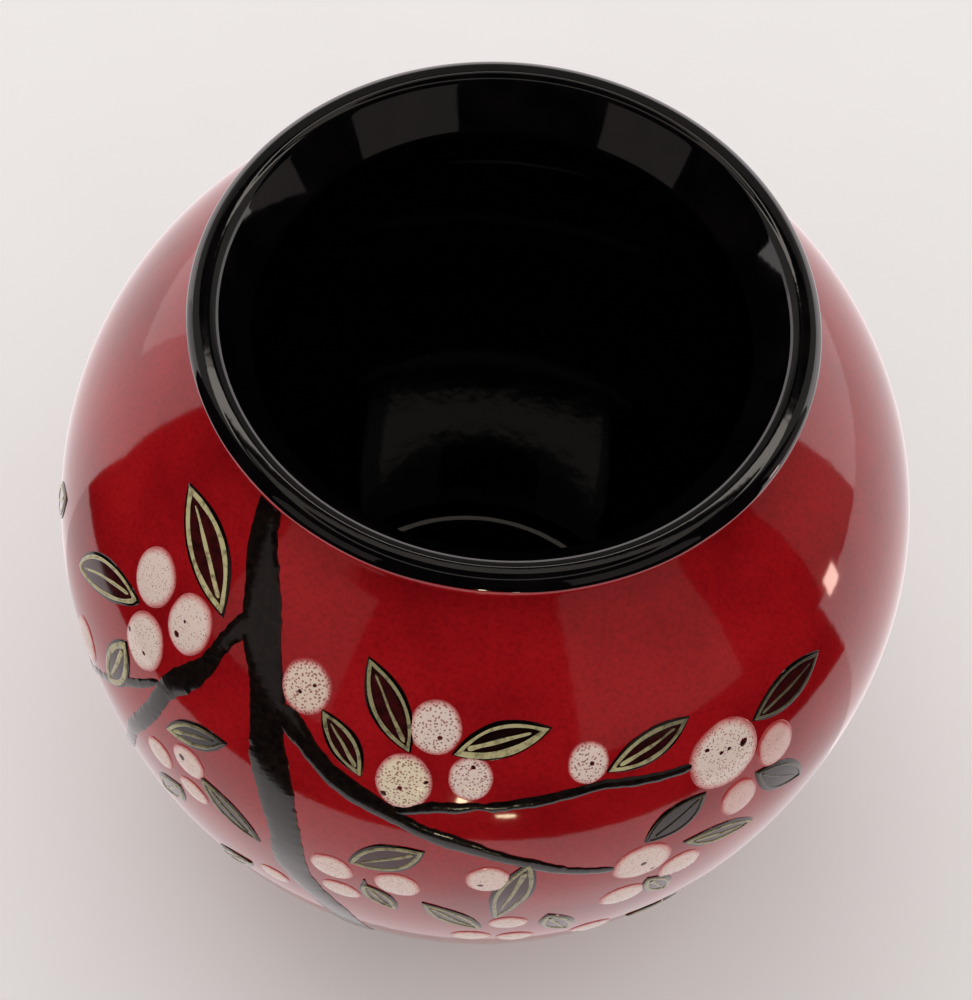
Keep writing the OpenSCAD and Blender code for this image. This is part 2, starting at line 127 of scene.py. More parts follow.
@dataclass(frozen=True)
class PotProfile:
    """The pot's outline as radius and height, in millimetres.

    Latitude is 0 at the widest point and grows upwards. Lift is the distance outside the red glaze.
    """

    belly_r: float = 110.0
    belly_z: float = 135.0
    shoulder_rise: float = 100.5
    bowl_drop: float = 155.0
    wall: float = 6.0
    floor_z: float = 13.0
    lip_d: float = 144.0
    lip_rise: float = 88.5
    lip_round: float = 3.4
    neck_lat: float = 51.5
    funnel_tilt: float = 35.0
    throat_d: float = 115.4
    throat_round: float = 2.3
    foot_r: float = 57.0
    foot_face: float = 6.0
    foot_hollow: float = 4.5
    foot_lat: float = 57.0
    cavity_lat: float = -50.0
    glaze: float = 0.5
    glaze_line: float = 14.0
    lip_inner_round: float = 3.7

    @cached_property
    def lip_centre(self) -> Vector:
        """Centre of the lip's outer rounding."""
        return Vector((self.lip_d / 2 - self.lip_round, self.belly_z + self.lip_rise))

    @cached_property
    def lip_inner_centre(self) -> Vector:
        """Centre of the lip's inner rounding."""
        return self.lip_centre - Vector((1.25, 0.3))

    @cached_property
    def neck_fillet(self) -> float:
        """Radius of the neck's hollow, which touches both the belly and the lip."""
        gap = self.belly(self.neck_lat, 0) - self.lip_centre
        lean = self.lean(self.neck_lat)
        normal = Vector((cos_of(lean), sin_of(lean)))
        return (gap.dot(gap) - self.lip_round ** 2) / (2 * self.lip_round - 2 * normal.dot(gap))

    @cached_property
    def neck_centre(self) -> Vector:
        """Centre of the neck's hollow."""
        return self.belly(self.neck_lat, self.neck_fillet)

    @cached_property
    def neck_end(self) -> float:
        """Angle round the lip at which the neck's hollow meets it."""
        gap = self.neck_centre - self.lip_centre
        return math.degrees(math.atan2(gap.y, gap.x))

    @cached_property
    def throat_centre(self) -> Vector:
        """Centre of the throat's rounded edge, where the straight funnel ends."""
        normal = Vector((-cos_of(self.funnel_tilt), sin_of(self.funnel_tilt)))
        radius = self.throat_d / 2 + self.throat_round
        reach = normal.dot(self.lip_inner_centre) + self.lip_inner_round - self.throat_round
        return Vector((radius, (reach - normal.x * radius) / normal.y))

    def dome(self, lat: float) -> float:
        """Height of the half of the belly that a latitude lies on."""
        return self.bowl_drop if lat < 0 else self.shoulder_rise

    def lean(self, lat: float) -> float:
        """Slope of the belly's outward normal at a latitude, in degrees above level."""
        return math.degrees(math.atan2(self.belly_r * sin_of(lat), self.dome(lat) * cos_of(lat)))

    def belly(self, lat: float, lift: float) -> Vector:
        """A point of the belly's outline."""
        lean = self.lean(lat)
        point = Vector((self.belly_r * cos_of(lat), self.belly_z + self.dome(lat) * sin_of(lat)))
        return point + lift * Vector((cos_of(lean), sin_of(lean)))

    def neck(self, turn: float, lift: float) -> Vector:
        """A point of the neck's hollow, at an angle round its centre."""
        return self.neck_centre - (self.neck_fillet - lift) * Vector((cos_of(turn), sin_of(turn)))

    def skin(self, lat: float, lift: float) -> Vector:
        """A point of the outside at a latitude, from the foot up into the neck."""
        if lat <= self.neck_lat:
            return self.belly(lat, lift)
        turn = self.lean(self.neck_lat) - (lat - self.neck_lat) * 100 / self.neck_fillet
        return self.neck(turn, lift)

    def arc(self, centre: Vector, radius: float, start: float, end: float, count: int) -> list[Vector]:
        """Points of an arc, both ends included."""
        turns = (start + (end - start) * i / count for i in range(count + 1))
        return [centre + radius * Vector((cos_of(a), sin_of(a))) for a in turns]

    def belly_line(self, start: float, end: float, lift: float, step: float = 2.0) -> list[Vector]:
        """Points of the belly's outline between two latitudes."""
        count = math.ceil(abs(end - start) / step)
        return [self.belly(start + (end - start) * i / count, lift) for i in range(count + 1)]

    def outer_line(self, lift: float) -> list[Vector]:
        """The outside, from the foot ring up to the glaze line on the lip."""
        turn = self.lean(self.neck_lat)
        hollow = [self.neck(turn + (self.neck_end - turn) * i / 16, lift) for i in range(1, 17)]
        rounding = self.arc(self.lip_centre, self.lip_round + lift, self.neck_end, self.glaze_line, 20)
        return self.belly_line(-self.foot_lat, self.neck_lat, lift) + hollow + rounding[1:]

    def inner_line(self, depth: float) -> list[Vector]:
        """The inside, from the glaze line over the lip and down to the middle of the floor."""
        tilt, lat = 180 - self.funnel_tilt, self.neck_lat + 0.5
        start = self.belly(self.cavity_lat, depth - self.wall)
        knee, end = Vector((60, self.floor_z - depth)), Vector((48, self.floor_z - depth))
        shares = (i / 10 for i in range(1, 11))
        bend = [(1 - t) ** 2 * start + 2 * t * (1 - t) * knee + t * t * end for t in shares]
        return (
            self.arc(self.lip_centre, self.lip_round - depth, self.glaze_line, 90, 14)
            + self.arc(self.lip_inner_centre, self.lip_inner_round - depth, 90, tilt, 14)
            + self.arc(self.throat_centre, self.throat_round - depth, tilt, 180 + self.lean(lat), 16)
            + self.belly_line(lat, self.cavity_lat, depth - self.wall)
            + bend + [Vector((0, self.floor_z - depth))]
        )

    def foot_line(self) -> list[Vector]:
        """Under the pot, from the middle of the hollow out to the foot ring's outer wall."""
        inner = self.foot_r - self.foot_face
        top = self.belly_z - self.bowl_drop * sin_of(self.foot_lat) - 0.6
        return [Vector(p) for p in (
            (0, self.foot_hollow + 0.5), (inner - 2.2, self.foot_hollow),
            (inner - 1, self.foot_hollow - 1.2), (inner - 0.8, 0.8), (inner, 0),
            (self.foot_r - 0.8, 0), (self.foot_r, 0.8), (self.foot_r, top))]

    def per_degree(self, lat: float) -> tuple[float, float]:
        """Millimetres on the surface for one degree of longitude, and for one of latitude."""
        along = math.hypot(self.belly_r * sin_of(lat), self.dome(lat) * cos_of(lat))
        return math.radians(self.belly_r * cos_of(lat)), math.radians(along)

    def moved(self, place: Place, right: float, up: float) -> Place:
        """The place that lies so many millimetres to the right of another, and above it."""
        lat = place[1] + up / self.per_degree(place[1] + up / 4)[1]
        return place[0] + right / self.per_degree((place[1] + lat) / 2)[0], lat

    def span(self, a: Place, b: Place) -> Vector:
        """Millimetres to the right and up from one place to another."""
        rise = (self.per_degree(a[1])[1] + self.per_degree(b[1])[1]) / 2
        return Vector(((b[0] - a[0]) * self.per_degree((a[1] + b[1]) / 2)[0], (b[1] - a[1]) * rise))

    def on_skin(self, place: Place, lift: float) -> Vector:
        """The point of space at a place, in metres."""
        p = self.skin(place[1], lift)
        return Vector((p.x * sin_of(place[0]), -p.x * cos_of(place[0]), p.y)) * MM

    def glaze_wander(self, angle: float) -> float:
        """Degrees round the lip by which the glaze line strays, at an angle round the pot in radians."""
        degrees, waves = 5.0, 6.0
        return degrees * noise.noise(Vector((math.cos(angle) * waves, math.sin(angle) * waves, 0.3)))


# ------------------------------------------------------------------------------------- the finishes


@dataclass(frozen=True)
class Finish:
    """A surface finish. Each kind fills the node tree of its own material."""

    name: str
    roughness: float
    ior: float = 1.5

    def paint(self, tree: bpy.types.NodeTree, shader: bpy.types.Node) -> None:
        """Adds the nodes that colour the shader.

        Args:
            tree: The material's node tree.
            shader: Its Principled BSDF.
        """
        raise NotImplementedError

    def material(self) -> bpy.types.Material:
        """The finish as a material, made once and then shared."""
        made = bpy.data.materials.get(self.name)
        if made is None:
            made = bpy.data.materials.new(self.name)
            made.use_nodes = True
            shader = made.node_tree.nodes["Principled BSDF"]
            shader.inputs["Roughness"].default_value = self.roughness
            shader.inputs["IOR"].default_value = self.ior
            self.paint(made.node_tree, shader)
        return made


@dataclass(frozen=True)
class RedGlaze(Finish):
    """Iron and selenium red gloss glaze, brushed on and fired.

    It gives a deep red that clouds slowly, with a fine and faint darker mottle where the coat broke
    as it melted, and a hard mirror gloss over a faint orange-peel.
    """

    deep: str = "#850b12"
    mid: str = "#971016"
    bright: str = "#a2151a"
    mottle_mm: float = 1.1
    cloud_mm: float = 30.0
    peel_mm: float = 5.0

    def paint(self, tree: bpy.types.NodeTree, shader: bpy.types.Node) -> None:
        """See Finish."""
        place = add_node(tree, "ShaderNodeTexCoord").outputs["Object"]
        cloud = add_node(tree, "ShaderNodeTexNoise", {
            "Vector": place, "Scale": per_metre(self.cloud_mm), "Detail": 3.0, "Roughness": 0.55})
        mottle = add_node(tree, "ShaderNodeTexNoise", {
            "Vector": place, "Scale": per_metre(self.mottle_mm), "Detail": 4.0, "Roughness": 0.65})
        base = add_node(tree, "ShaderNodeValToRGB", {"Fac": cloud.outputs["Fac"]},
                        stops=((0.32, self.deep), (0.50, self.mid), (0.70, self.bright)))
        grain = add_node(tree, "ShaderNodeValToRGB", {"Fac": mottle.outputs["Fac"]},
                         stops=((0.30, "#c4bcbc"), (0.52, "#efecec"), (0.72, "#ffffff")))
        mixed = add_node(tree, "ShaderNodeMix", {0: 0.7, 6: base.outputs["Color"],
                                                 7: grain.outputs["Color"]},
                         data_type="RGBA", blend_type="MULTIPLY")
        tree.links.new(mixed.outputs[2], shader.inputs["Base Color"])
        peel = add_node(tree, "ShaderNodeTexNoise", {
            "Vector": place, "Scale": per_metre(self.peel_mm), "Detail": 2.0})
        bump = add_node(tree, "ShaderNodeBump", {
            "Strength": 0.35, "Distance": 0.00006, "Height": peel.outputs["Fac"]})
        tree.links.new(bump.outputs["Normal"], shader.inputs["Normal"])


@dataclass(frozen=True)
class BlackGlaze(Finish):
    """Cobalt and manganese black gloss glaze, poured inside and rolled over the lip.

    It gives a wet, nearly colourless black with crisp reflections, a little browner where thin.
    """

    deep: str = "#040304"
    thin: str = "#0b0808"
    cloud_mm: float = 9.0
    peel_mm: float = 6.0

    def paint(self, tree: bpy.types.NodeTree, shader: bpy.types.Node) -> None:
        """See Finish."""
        place = add_node(tree, "ShaderNodeTexCoord").outputs["Object"]
        cloud = add_node(tree, "ShaderNodeTexNoise", {
            "Vector": place, "Scale": per_metre(self.cloud_mm), "Detail": 3.0})
        base = add_node(tree, "ShaderNodeValToRGB", {"Fac": cloud.outputs["Fac"]},
                        stops=((0.40, self.deep), (0.72, self.thin)))
        tree.links.new(base.outputs["Color"], shader.inputs["Base Color"])
        peel = add_node(tree, "ShaderNodeTexNoise", {
            "Vector": place, "Scale": per_metre(self.peel_mm), "Detail": 2.0})
        bump = add_node(tree, "ShaderNodeBump", {
            "Strength": 0.35, "Distance": 0.00006, "Height": peel.outputs["Fac"]})
        tree.links.new(bump.outputs["Normal"], shader.inputs["Normal"])


@dataclass(frozen=True)
class BareClay(Finish):
    """Unglazed buff stoneware, wiped clean at the foot.

    It gives a dry, dull tan with fine sandy grog and a toasted tint.
    """

    light: str = "#c3a37e"
    toasted: str = "#97714e"
    grog_mm: float = 0.7
    toast_mm: float = 14.0

    def paint(self, tree: bpy.types.NodeTree, shader: bpy.types.Node) -> None:
        """See Finish."""
        place = add_node(tree, "ShaderNodeTexCoord").outputs["Object"]
        toast = add_node(tree, "ShaderNodeTexNoise", {
            "Vector": place, "Scale": per_metre(self.toast_mm), "Detail": 3.0})
        grog = add_node(tree, "ShaderNodeTexNoise", {
            "Vector": place, "Scale": per_metre(self.grog_mm), "Detail": 2.0})
        base = add_node(tree, "ShaderNodeValToRGB", {"Fac": toast.outputs["Fac"]},
                        stops=((0.38, self.light), (0.68, self.toasted)))
        sand = add_node(tree, "ShaderNodeValToRGB", {"Fac": grog.outputs["Fac"]},
                        stops=((0.34, "#9b8f84"), (0.56, "#ffffff")))
        mixed = add_node(tree, "ShaderNodeMix", {0: 0.7, 6: base.outputs["Color"],
                                                 7: sand.outputs["Color"]},
                         data_type="RGBA", blend_type="MULTIPLY")
        tree.links.new(mixed.outputs[2], shader.inputs["Base Color"])
        bump = add_node(tree, "ShaderNodeBump", {
            "Strength": 0.6, "Distance": 0.0001, "Height": grog.outputs["Fac"]})
        tree.links.new(bump.outputs["Normal"], shader.inputs["Normal"])


@dataclass(frozen=True)
class BranchGlaze(Finish):
    """Iron-black underglaze brushed over the red, under the same gloss.

    It gives a brown-black that turns redder along a stroke's thin edges, with long bristle streaks.
    """

    dark: str = "#090605"
    brown: str = "#1a100d"
    thin: str = "#310e0d"
    streak_mm: float = 1.6

    def paint(self, tree: bpy.types.NodeTree, shader: bpy.types.Node) -> None:
        """See Finish."""
        place = add_node(tree, "ShaderNodeTexCoord").outputs["Object"]
        streak = add_node(tree, "ShaderNodeTexNoise", {
            "Vector": place, "Scale": per_metre(self.streak_mm), "Detail": 4.0, "Roughness": 0.6})
        base = add_node(tree, "ShaderNodeValToRGB", {"Fac": streak.outputs["Fac"]},
                        stops=((0.36, self.dark), (0.70, self.brown)))
        edge = add_node(tree, "ShaderNodeAttribute", attribute_name="rim").outputs["Fac"]
        worn = add_node(tree, "ShaderNodeMapRange", {
            "Value": edge, "From Min": 0.86, "From Max": 1.0, "To Min": 0.0, "To Max": 0.7})
        mixed = add_node(tree, "ShaderNodeMix", {0: worn.outputs["Result"],
                                                 6: base.outputs["Color"], 7: linear(self.thin)},
                         data_type="RGBA")
        tree.links.new(mixed.outputs[2], shader.inputs["Base Color"])
        bump = add_node(tree, "ShaderNodeBump", {
            "Strength": 0.3, "Distance": 0.0001, "Height": streak.outputs["Fac"]})
        tree.links.new(bump.outputs["Normal"], shader.inputs["Normal"])


@dataclass(frozen=True)
class BerryGlaze(Finish):
    """Thick shell-pink tin-white glaze, dropped on and fired until it pinholed.

    It gives a greyish cream disc full of tiny dark red pores, whose edge melted into the red. Some
    drops fired pinker, with a wider melted edge, and some more like straw.
    """

    cream: str = "#dac7bb"
    pink: str = "#c89691"
    straw: str = "#d9c9a8"
    melt: str = "#c98a84"
    rim: str = "#a63a3a"
    pore: str = "#84443f"
    pore_mm: float = 0.7

    def paint(self, tree: bpy.types.NodeTree, shader: bpy.types.Node) -> None:
        """See Finish."""
        place = add_node(tree, "ShaderNodeTexCoord").outputs["Object"]
        rim, pores, blush, straw = (
            add_node(tree, "ShaderNodeAttribute", attribute_name=name).outputs["Fac"]
            for name in ("rim", "pores", "blush", "straw"))
        ragged = add_node(tree, "ShaderNodeTexNoise", {
            "Vector": place, "Scale": per_metre(2.2), "Detail": 3.0})
        shake = add_node(tree, "ShaderNodeMath", {0: ragged.outputs["Fac"], 1: 0.10, 2: -0.05},
                         operation="MULTIPLY_ADD")
        worn = add_node(tree, "ShaderNodeMath", {0: blush, 1: 0.12, 2: shake.outputs[0]},
                        operation="MULTIPLY_ADD")
        reach = add_node(tree, "ShaderNodeMath", {0: rim, 1: worn.outputs[0]}, operation="ADD")
        pinker = add_node(tree, "ShaderNodeMix", {0: blush, 6: linear(self.cream),
                                                  7: linear(self.pink)}, data_type="RGBA")
        body = add_node(tree, "ShaderNodeMix", {0: straw, 6: pinker.outputs[2],
                                                7: linear(self.straw)}, data_type="RGBA")
        melting = add_node(tree, "ShaderNodeMapRange", {
            "Value": reach.outputs[0], "From Min": 0.78, "From Max": 0.93})
        melted = add_node(tree, "ShaderNodeMix", {0: melting.outputs["Result"], 6: body.outputs[2],
                                                  7: linear(self.melt)}, data_type="RGBA")
        ending = add_node(tree, "ShaderNodeMapRange", {
            "Value": reach.outputs[0], "From Min": 0.92, "From Max": 1.0})
        base = add_node(tree, "ShaderNodeMix", {0: ending.outputs["Result"], 6: melted.outputs[2],
                                                7: linear(self.rim)}, data_type="RGBA")
        cells = add_node(tree, "ShaderNodeTexVoronoi", {
            "Vector": place, "Scale": per_metre(self.pore_mm), "Randomness": 0.9})
        size = add_node(tree, "ShaderNodeMath", {0: pores, 1: 0.30, 2: 0.12},
                        operation="MULTIPLY_ADD")
        gap = add_node(tree, "ShaderNodeMath", {0: size.outputs[0], 1: cells.outputs["Distance"]},
                       operation="SUBTRACT")
        hole = add_node(tree, "ShaderNodeMapRange", {
            "Value": gap.outputs[0], "From Min": -0.02, "From Max": 0.12, "To Max": 0.85})
        mixed = add_node(tree, "ShaderNodeMix", {0: hole.outputs["Result"],
                                                 6: base.outputs[2], 7: linear(self.pore)},
                         data_type="RGBA")
        tree.links.new(mixed.outputs[2], shader.inputs["Base Color"])
        bump = add_node(tree, "ShaderNodeBump", {
            "Strength": 0.4, "Distance": 0.00012, "Height": hole.outputs["Result"]}, invert=True)
        tree.links.new(bump.outputs["Normal"], shader.inputs["Normal"])


@dataclass(frozen=True)
class CraterGlaze(Finish):
    """The red glaze seen at the bottom of a burst bubble.

    It gives small dark red-brown dots with a wet gloss.
    """

    dark: str = "#2a090b"
    red: str = "#5e1518"

    def paint(self, tree: bpy.types.NodeTree, shader: bpy.types.Node) -> None:
        """See Finish."""
        place = add_node(tree, "ShaderNodeTexCoord").outputs["Object"]
        pool = add_node(tree, "ShaderNodeTexNoise", {
            "Vector": place, "Scale": per_metre(1.5), "Detail": 2.0})
        base = add_node(tree, "ShaderNodeValToRGB", {"Fac": pool.outputs["Fac"]},
                        stops=((0.40, self.dark), (0.70, self.red)))
        tree.links.new(base.outputs["Color"], shader.inputs["Base Color"])


@dataclass(frozen=True)
class LeafGround(Finish):
    """Thin black underglaze laid as a leaf, which the red shows through in the middle.

    It gives a dark maroon leaf inside a blacker margin.
    """

    margin: str = "#090605"
    maroon: str = "#3a0c0f"
    smoke_mm: float = 2.6

    def paint(self, tree: bpy.types.NodeTree, shader: bpy.types.Node) -> None:
        """See Finish."""
        place = add_node(tree, "ShaderNodeTexCoord").outputs["Object"]
        smoke = add_node(tree, "ShaderNodeTexNoise", {
            "Vector": place, "Scale": per_metre(self.smoke_mm), "Detail": 3.0})
        inset = add_node(tree, "ShaderNodeAttribute", attribute_name="inset").outputs["Fac"]
        shade = add_node(tree, "ShaderNodeAttribute", attribute_name="shade").outputs["Fac"]
        clear = add_node(tree, "ShaderNodeMapRange", {
            "Value": inset, "From Min": 1.0, "From Max": 2.4, "To Max": 1.0})
        cloud = add_node(tree, "ShaderNodeMapRange", {
            "Value": smoke.outputs["Fac"], "From Min": 0.3, "From Max": 0.65, "To Min": 0.35})
        share = add_node(tree, "ShaderNodeMath", {0: clear.outputs["Result"],
                                                  1: cloud.outputs["Result"]}, operation="MULTIPLY")
        seen = add_node(tree, "ShaderNodeMath", {0: share.outputs[0], 1: shade},
                        operation="MULTIPLY")
        mixed = add_node(tree, "ShaderNodeMix", {0: seen.outputs[0], 6: linear(self.margin),
                                                 7: linear(self.maroon)}, data_type="RGBA")
        tree.links.new(mixed.outputs[2], shader.inputs["Base Color"])


@dataclass(frozen=True)
class LeafLine(Finish):
    """Khaki slip trailed from a fine nozzle along a leaf's edge and midrib.

    It gives a soft grey-green line that thins to brown where the slip ran out.
    """

    khaki: str = "#b3a97c"
    thin: str = "#7a6f50"
    faint: str = "#17100e"
    run_mm: float = 1.8

    def paint(self, tree: bpy.types.NodeTree, shader: bpy.types.Node) -> None:
        """See Finish."""
        place = add_node(tree, "ShaderNodeTexCoord").outputs["Object"]
        run = add_node(tree, "ShaderNodeTexNoise", {
            "Vector": place, "Scale": per_metre(self.run_mm), "Detail": 3.0, "Roughness": 0.6})
        base = add_node(tree, "ShaderNodeValToRGB", {"Fac": run.outputs["Fac"]},
                        stops=((0.34, self.thin), (0.52, self.khaki)))
        tone = add_node(tree, "ShaderNodeAttribute", attribute_name="shade").outputs["Fac"]
        mixed = add_node(tree, "ShaderNodeMix", {0: tone, 6: linear(self.faint),
                                                 7: base.outputs["Color"]}, data_type="RGBA")
        tree.links.new(mixed.outputs[2], shader.inputs["Base Color"])


@dataclass(frozen=True)
class StudioSurface(Finish):
    """Matt seamless paper or a card for the studio: one plain tone, with a trace of tooth."""

    tone: str = "#efecea"
    tooth_mm: float = 60.0

    def paint(self, tree: bpy.types.NodeTree, shader: bpy.types.Node) -> None:
        """See Finish."""
        place = add_node(tree, "ShaderNodeTexCoord").outputs["Object"]
        tooth = add_node(tree, "ShaderNodeTexNoise", {
            "Vector": place, "Scale": per_metre(self.tooth_mm), "Detail": 2.0})
        shade = add_node(tree, "ShaderNodeMapRange", {
            "Value": tooth.outputs["Fac"], "To Min": 0.97, "To Max": 1.0})
        base = add_node(tree, "ShaderNodeMix", {0: shade.outputs["Result"], 6: (0, 0, 0, 1),
                                                7: linear(self.tone)}, data_type="RGBA")
        tree.links.new(base.outputs[2], shader.inputs["Base Color"])


@dataclass(frozen=True)
class LitCard(Finish):
    """A studio card that shines evenly: black when its glow is 0."""

    tone: str = "#ffffff"
    glow: float = 1.0

    def paint(self, tree: bpy.types.NodeTree, shader: bpy.types.Node) -> None:
        """See Finish."""
        shader.inputs["Base Color"].default_value = linear("#000000")
        shader.inputs["Specular IOR Level"].default_value = 0.0
        shader.inputs["Emission Color"].default_value = linear(self.tone)
        shader.inputs["Emission Strength"].default_value = self.glow


class Coat(Enum):
    """The two glaze coats of the pot."""

    RED = "red_glaze"
    BLACK = "black_glaze"


RED_GLAZE = RedGlaze("red_gloss_glaze", roughness=0.07, ior=1.52)
BLACK_GLAZE = BlackGlaze("black_gloss_glaze", roughness=0.05, ior=1.55)
BARE_CLAY = BareClay("bare_stoneware_clay", roughness=0.85, ior=1.5)
BRANCH_GLAZE = BranchGlaze("iron_black_brushwork", roughness=0.13, ior=1.52)
BERRY_GLAZE = BerryGlaze("pinholed_tin_white_glaze", roughness=0.14, ior=1.52)
CRATER_GLAZE = CraterGlaze("burst_bubble_red", roughness=0.12, ior=1.52)
LEAF_GROUND = LeafGround("thin_black_underglaze", roughness=0.10, ior=1.52)
LEAF_LINE = LeafLine("khaki_slip_trail", roughness=0.20, ior=1.52)
PALE_PAPER = StudioSurface("matt_pale_paper", roughness=0.9)
BLACK_CARD = LitCard("black_flag", roughness=1.0, glow=0.0)
FAINT_CARD = LitCard("faint_card", roughness=1.0, tone="#fff0ea", glow=0.26)
DIM_CARD = LitCard("dim_card", roughness=1.0, tone="#fff8f0", glow=0.35)
TOP_CARD = LitCard("top_card", roughness=1.0, tone="#fff4e8", glow=0.6)
HAZE_CARD = LitCard("haze_card", roughness=1.0, tone="#fff8f0", glow=0.2)
PALE_CARD = LitCard("pale_card", roughness=1.0, tone="#fff5f6", glow=0.85)
SOFT_CARD = LitCard("soft_card", roughness=1.0, tone="#fff5f6", glow=1.2)
BRIGHT_CARD = LitCard("bright_card", roughness=1.0, tone="#fff5f6", glow=1.8)
STRIP_CARD = LitCard("strip_card", roughness=1.0, tone="#fff6ec", glow=3.0)
LAMP_CARD = LitCard("lamp_card", roughness=1.0, tone="#fff3c8", glow=22.0)
WARM_LAMP_CARD = LitCard("warm_lamp_card", roughness=1.0, tone="#ffd2c4", glow=12.0)


# ------------------------------------------------------------------------------------- mesh helpers


def place_piece(name: str, bm: bmesh.types.BMesh, finishes: Sequence[Finish],
                nodes: Sequence[str]) -> bpy.types.Object:
    """Makes a bmesh a finished piece of the vase, at the origin, riding on the pot.

    Args:
        name: The piece's name.
        bm: Its mesh in metres, which is freed.
        finishes: Its finishes, in the order of its faces' material numbers.
        nodes: The CAD nodes that it stands for.

    Returns:
        The new object.
    """
    bmesh.ops.remove_doubles(bm, verts=bm.verts, dist=1e-7)
    bmesh.ops.recalc_face_normals(bm, faces=bm.faces)
    for face in bm.faces:
        face.smooth = True
    for edge in bm.edges:
        edge.smooth = len(edge.link_faces) == 2 and edge.calc_face_angle(0.0) < SHARP_ANGLE
    mesh = bpy.data.meshes.new(name)
    bm.to_mesh(mesh)
    bm.free()
    for finish in finishes:
        mesh.materials.append(finish.material())
    piece = bpy.data.objects.new(name, mesh)
    bpy.context.scene.collection.objects.link(piece)
    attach(piece, "root")
    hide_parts(*nodes)
    log.info("%s: %d faces, stands for %s", name, len(mesh.polygons), ", ".join(nodes))
    return piece


def spun(line: Sequence[Vector], closed: bool) -> bmesh.types.BMesh:
    """Turns an outline once round the pot's axis.

    Args:
        line: Points of radius and height, in millimetres.
        closed: True to join the last point to the first, for a ring-shaped shell.

    Returns:
        The turned mesh, in metres.
    """
    bm = bmesh.new()
    verts = [bm.verts.new((p.x * MM, 0, p.y * MM)) for p in line]
    edges = [bm.edges.new(pair) for pair in zip(verts, verts[1:])]
    if closed:
        edges.append(bm.edges.new((verts[-1], verts[0])))
    bmesh.ops.spin(bm, geom=verts + edges, cent=(0, 0, 0), axis=(0, 0, 1), angle=math.tau,
                   steps=TURN_STEPS, use_merge=True, use_duplicate=False)
    return bm


def swept(bm: bmesh.types.BMesh, sides: int, count: int,
          put: Callable[[int, float], Vector]) -> list[bmesh.types.BMVert]:
    """Extrudes a ring of corners, station by station, into one closed stroke.

    Args:
        bm: The mesh to add to.
        sides: Corners of the ring.
        count: Number of stations.
        put: Gives the point for a station and an angle round the ring.

    Returns:
        The stroke's vertices.
    """
    turn = bm.verts.layers.float.get("turn") or bm.verts.layers.float.new("turn")
    ring = bmesh.ops.create_circle(bm, cap_ends=True, radius=1.0, segments=sides)["verts"]
    made = list(ring)
    cap = ring[0].link_faces[0]
    for vert in ring:
        vert[turn] = math.atan2(vert.co.y, vert.co.x)
        vert.co = put(0, vert[turn])
    for station in range(1, count):
        grown = bmesh.ops.extrude_face_region(bm, geom=[cap])["geom"]
        cap = next(g for g in grown if isinstance(g, bmesh.types.BMFace))
        for vert in cap.verts:
            vert.co = put(station, vert[turn])
            made.append(vert)
    return made


# ------------------------------------------------------------------------------------- the pot


@dataclass(frozen=True)
class ClayBody:
    """The thrown and fired pot under its glazes, bare only at the foot."""

    pot: PotProfile

    def make(self) -> bpy.types.Object:
        """Builds and dresses the body."""
        pot = self.pot
        line = pot.foot_line() + pot.outer_line(-pot.glaze) + pot.inner_line(pot.glaze)[1:]
        return place_piece("clay_pot", spun(line, closed=False), [BARE_CLAY], ["clay_body"])


@dataclass(frozen=True)
class GlazeCoat:
    """One of the two glaze coats. They meet along a line that strays a little round the lip."""

    pot: PotProfile
    coat: Coat
    stray_reach: float = 20.0      # degrees either side of the glaze line that move with it
    stray_slack: float = 0.1       # mm by which a vertex may miss the lip's rounding

    def make(self) -> bpy.types.Object:
        """Builds and dresses the coat."""
        pot = self.pot
        if self.coat is Coat.RED:
            bm = spun(pot.outer_line(0) + pot.outer_line(-pot.glaze)[::-1], closed=True)
            finish = RED_GLAZE
        else:
            bm = spun(pot.inner_line(0) + pot.inner_line(pot.glaze)[::-1], closed=False)
            finish = BLACK_GLAZE
        self.stray(bm)
        return place_piece(self.coat.value + "_coat", bm, [finish],
                           [self.coat.value])

    def stray(self, bm: bmesh.types.BMesh) -> None:
        """Moves the coat's edge along the lip's rounding, by the same amount for both coats.

        Args:
            bm: The turned coat.
        """
        pot = self.pot
        for vert in bm.verts:
            arm = Vector((math.hypot(vert.co.x, vert.co.y), vert.co.z)) / MM - pot.lip_centre
            angle = math.degrees(math.atan2(arm.y, arm.x))
            inside, outside = pot.lip_round - pot.glaze, pot.lip_round
            on_rounding = inside - self.stray_slack < arm.length < outside + self.stray_slack
            near = 1 - abs(angle - pot.glaze_line) / self.stray_reach
            if not on_rounding or near <= 0:
                continue
            round_pot = math.atan2(vert.co.y, vert.co.x)
            angle += near * pot.glaze_wander(round_pot)
            point = pot.lip_centre + arm.length * Vector((cos_of(angle), sin_of(angle)))
            vert.co = Vector((point.x * math.cos(round_pot), point.x * math.sin(round_pot),
                              point.y)) * MM


# ------------------------------------------------------------------------------------- the tree


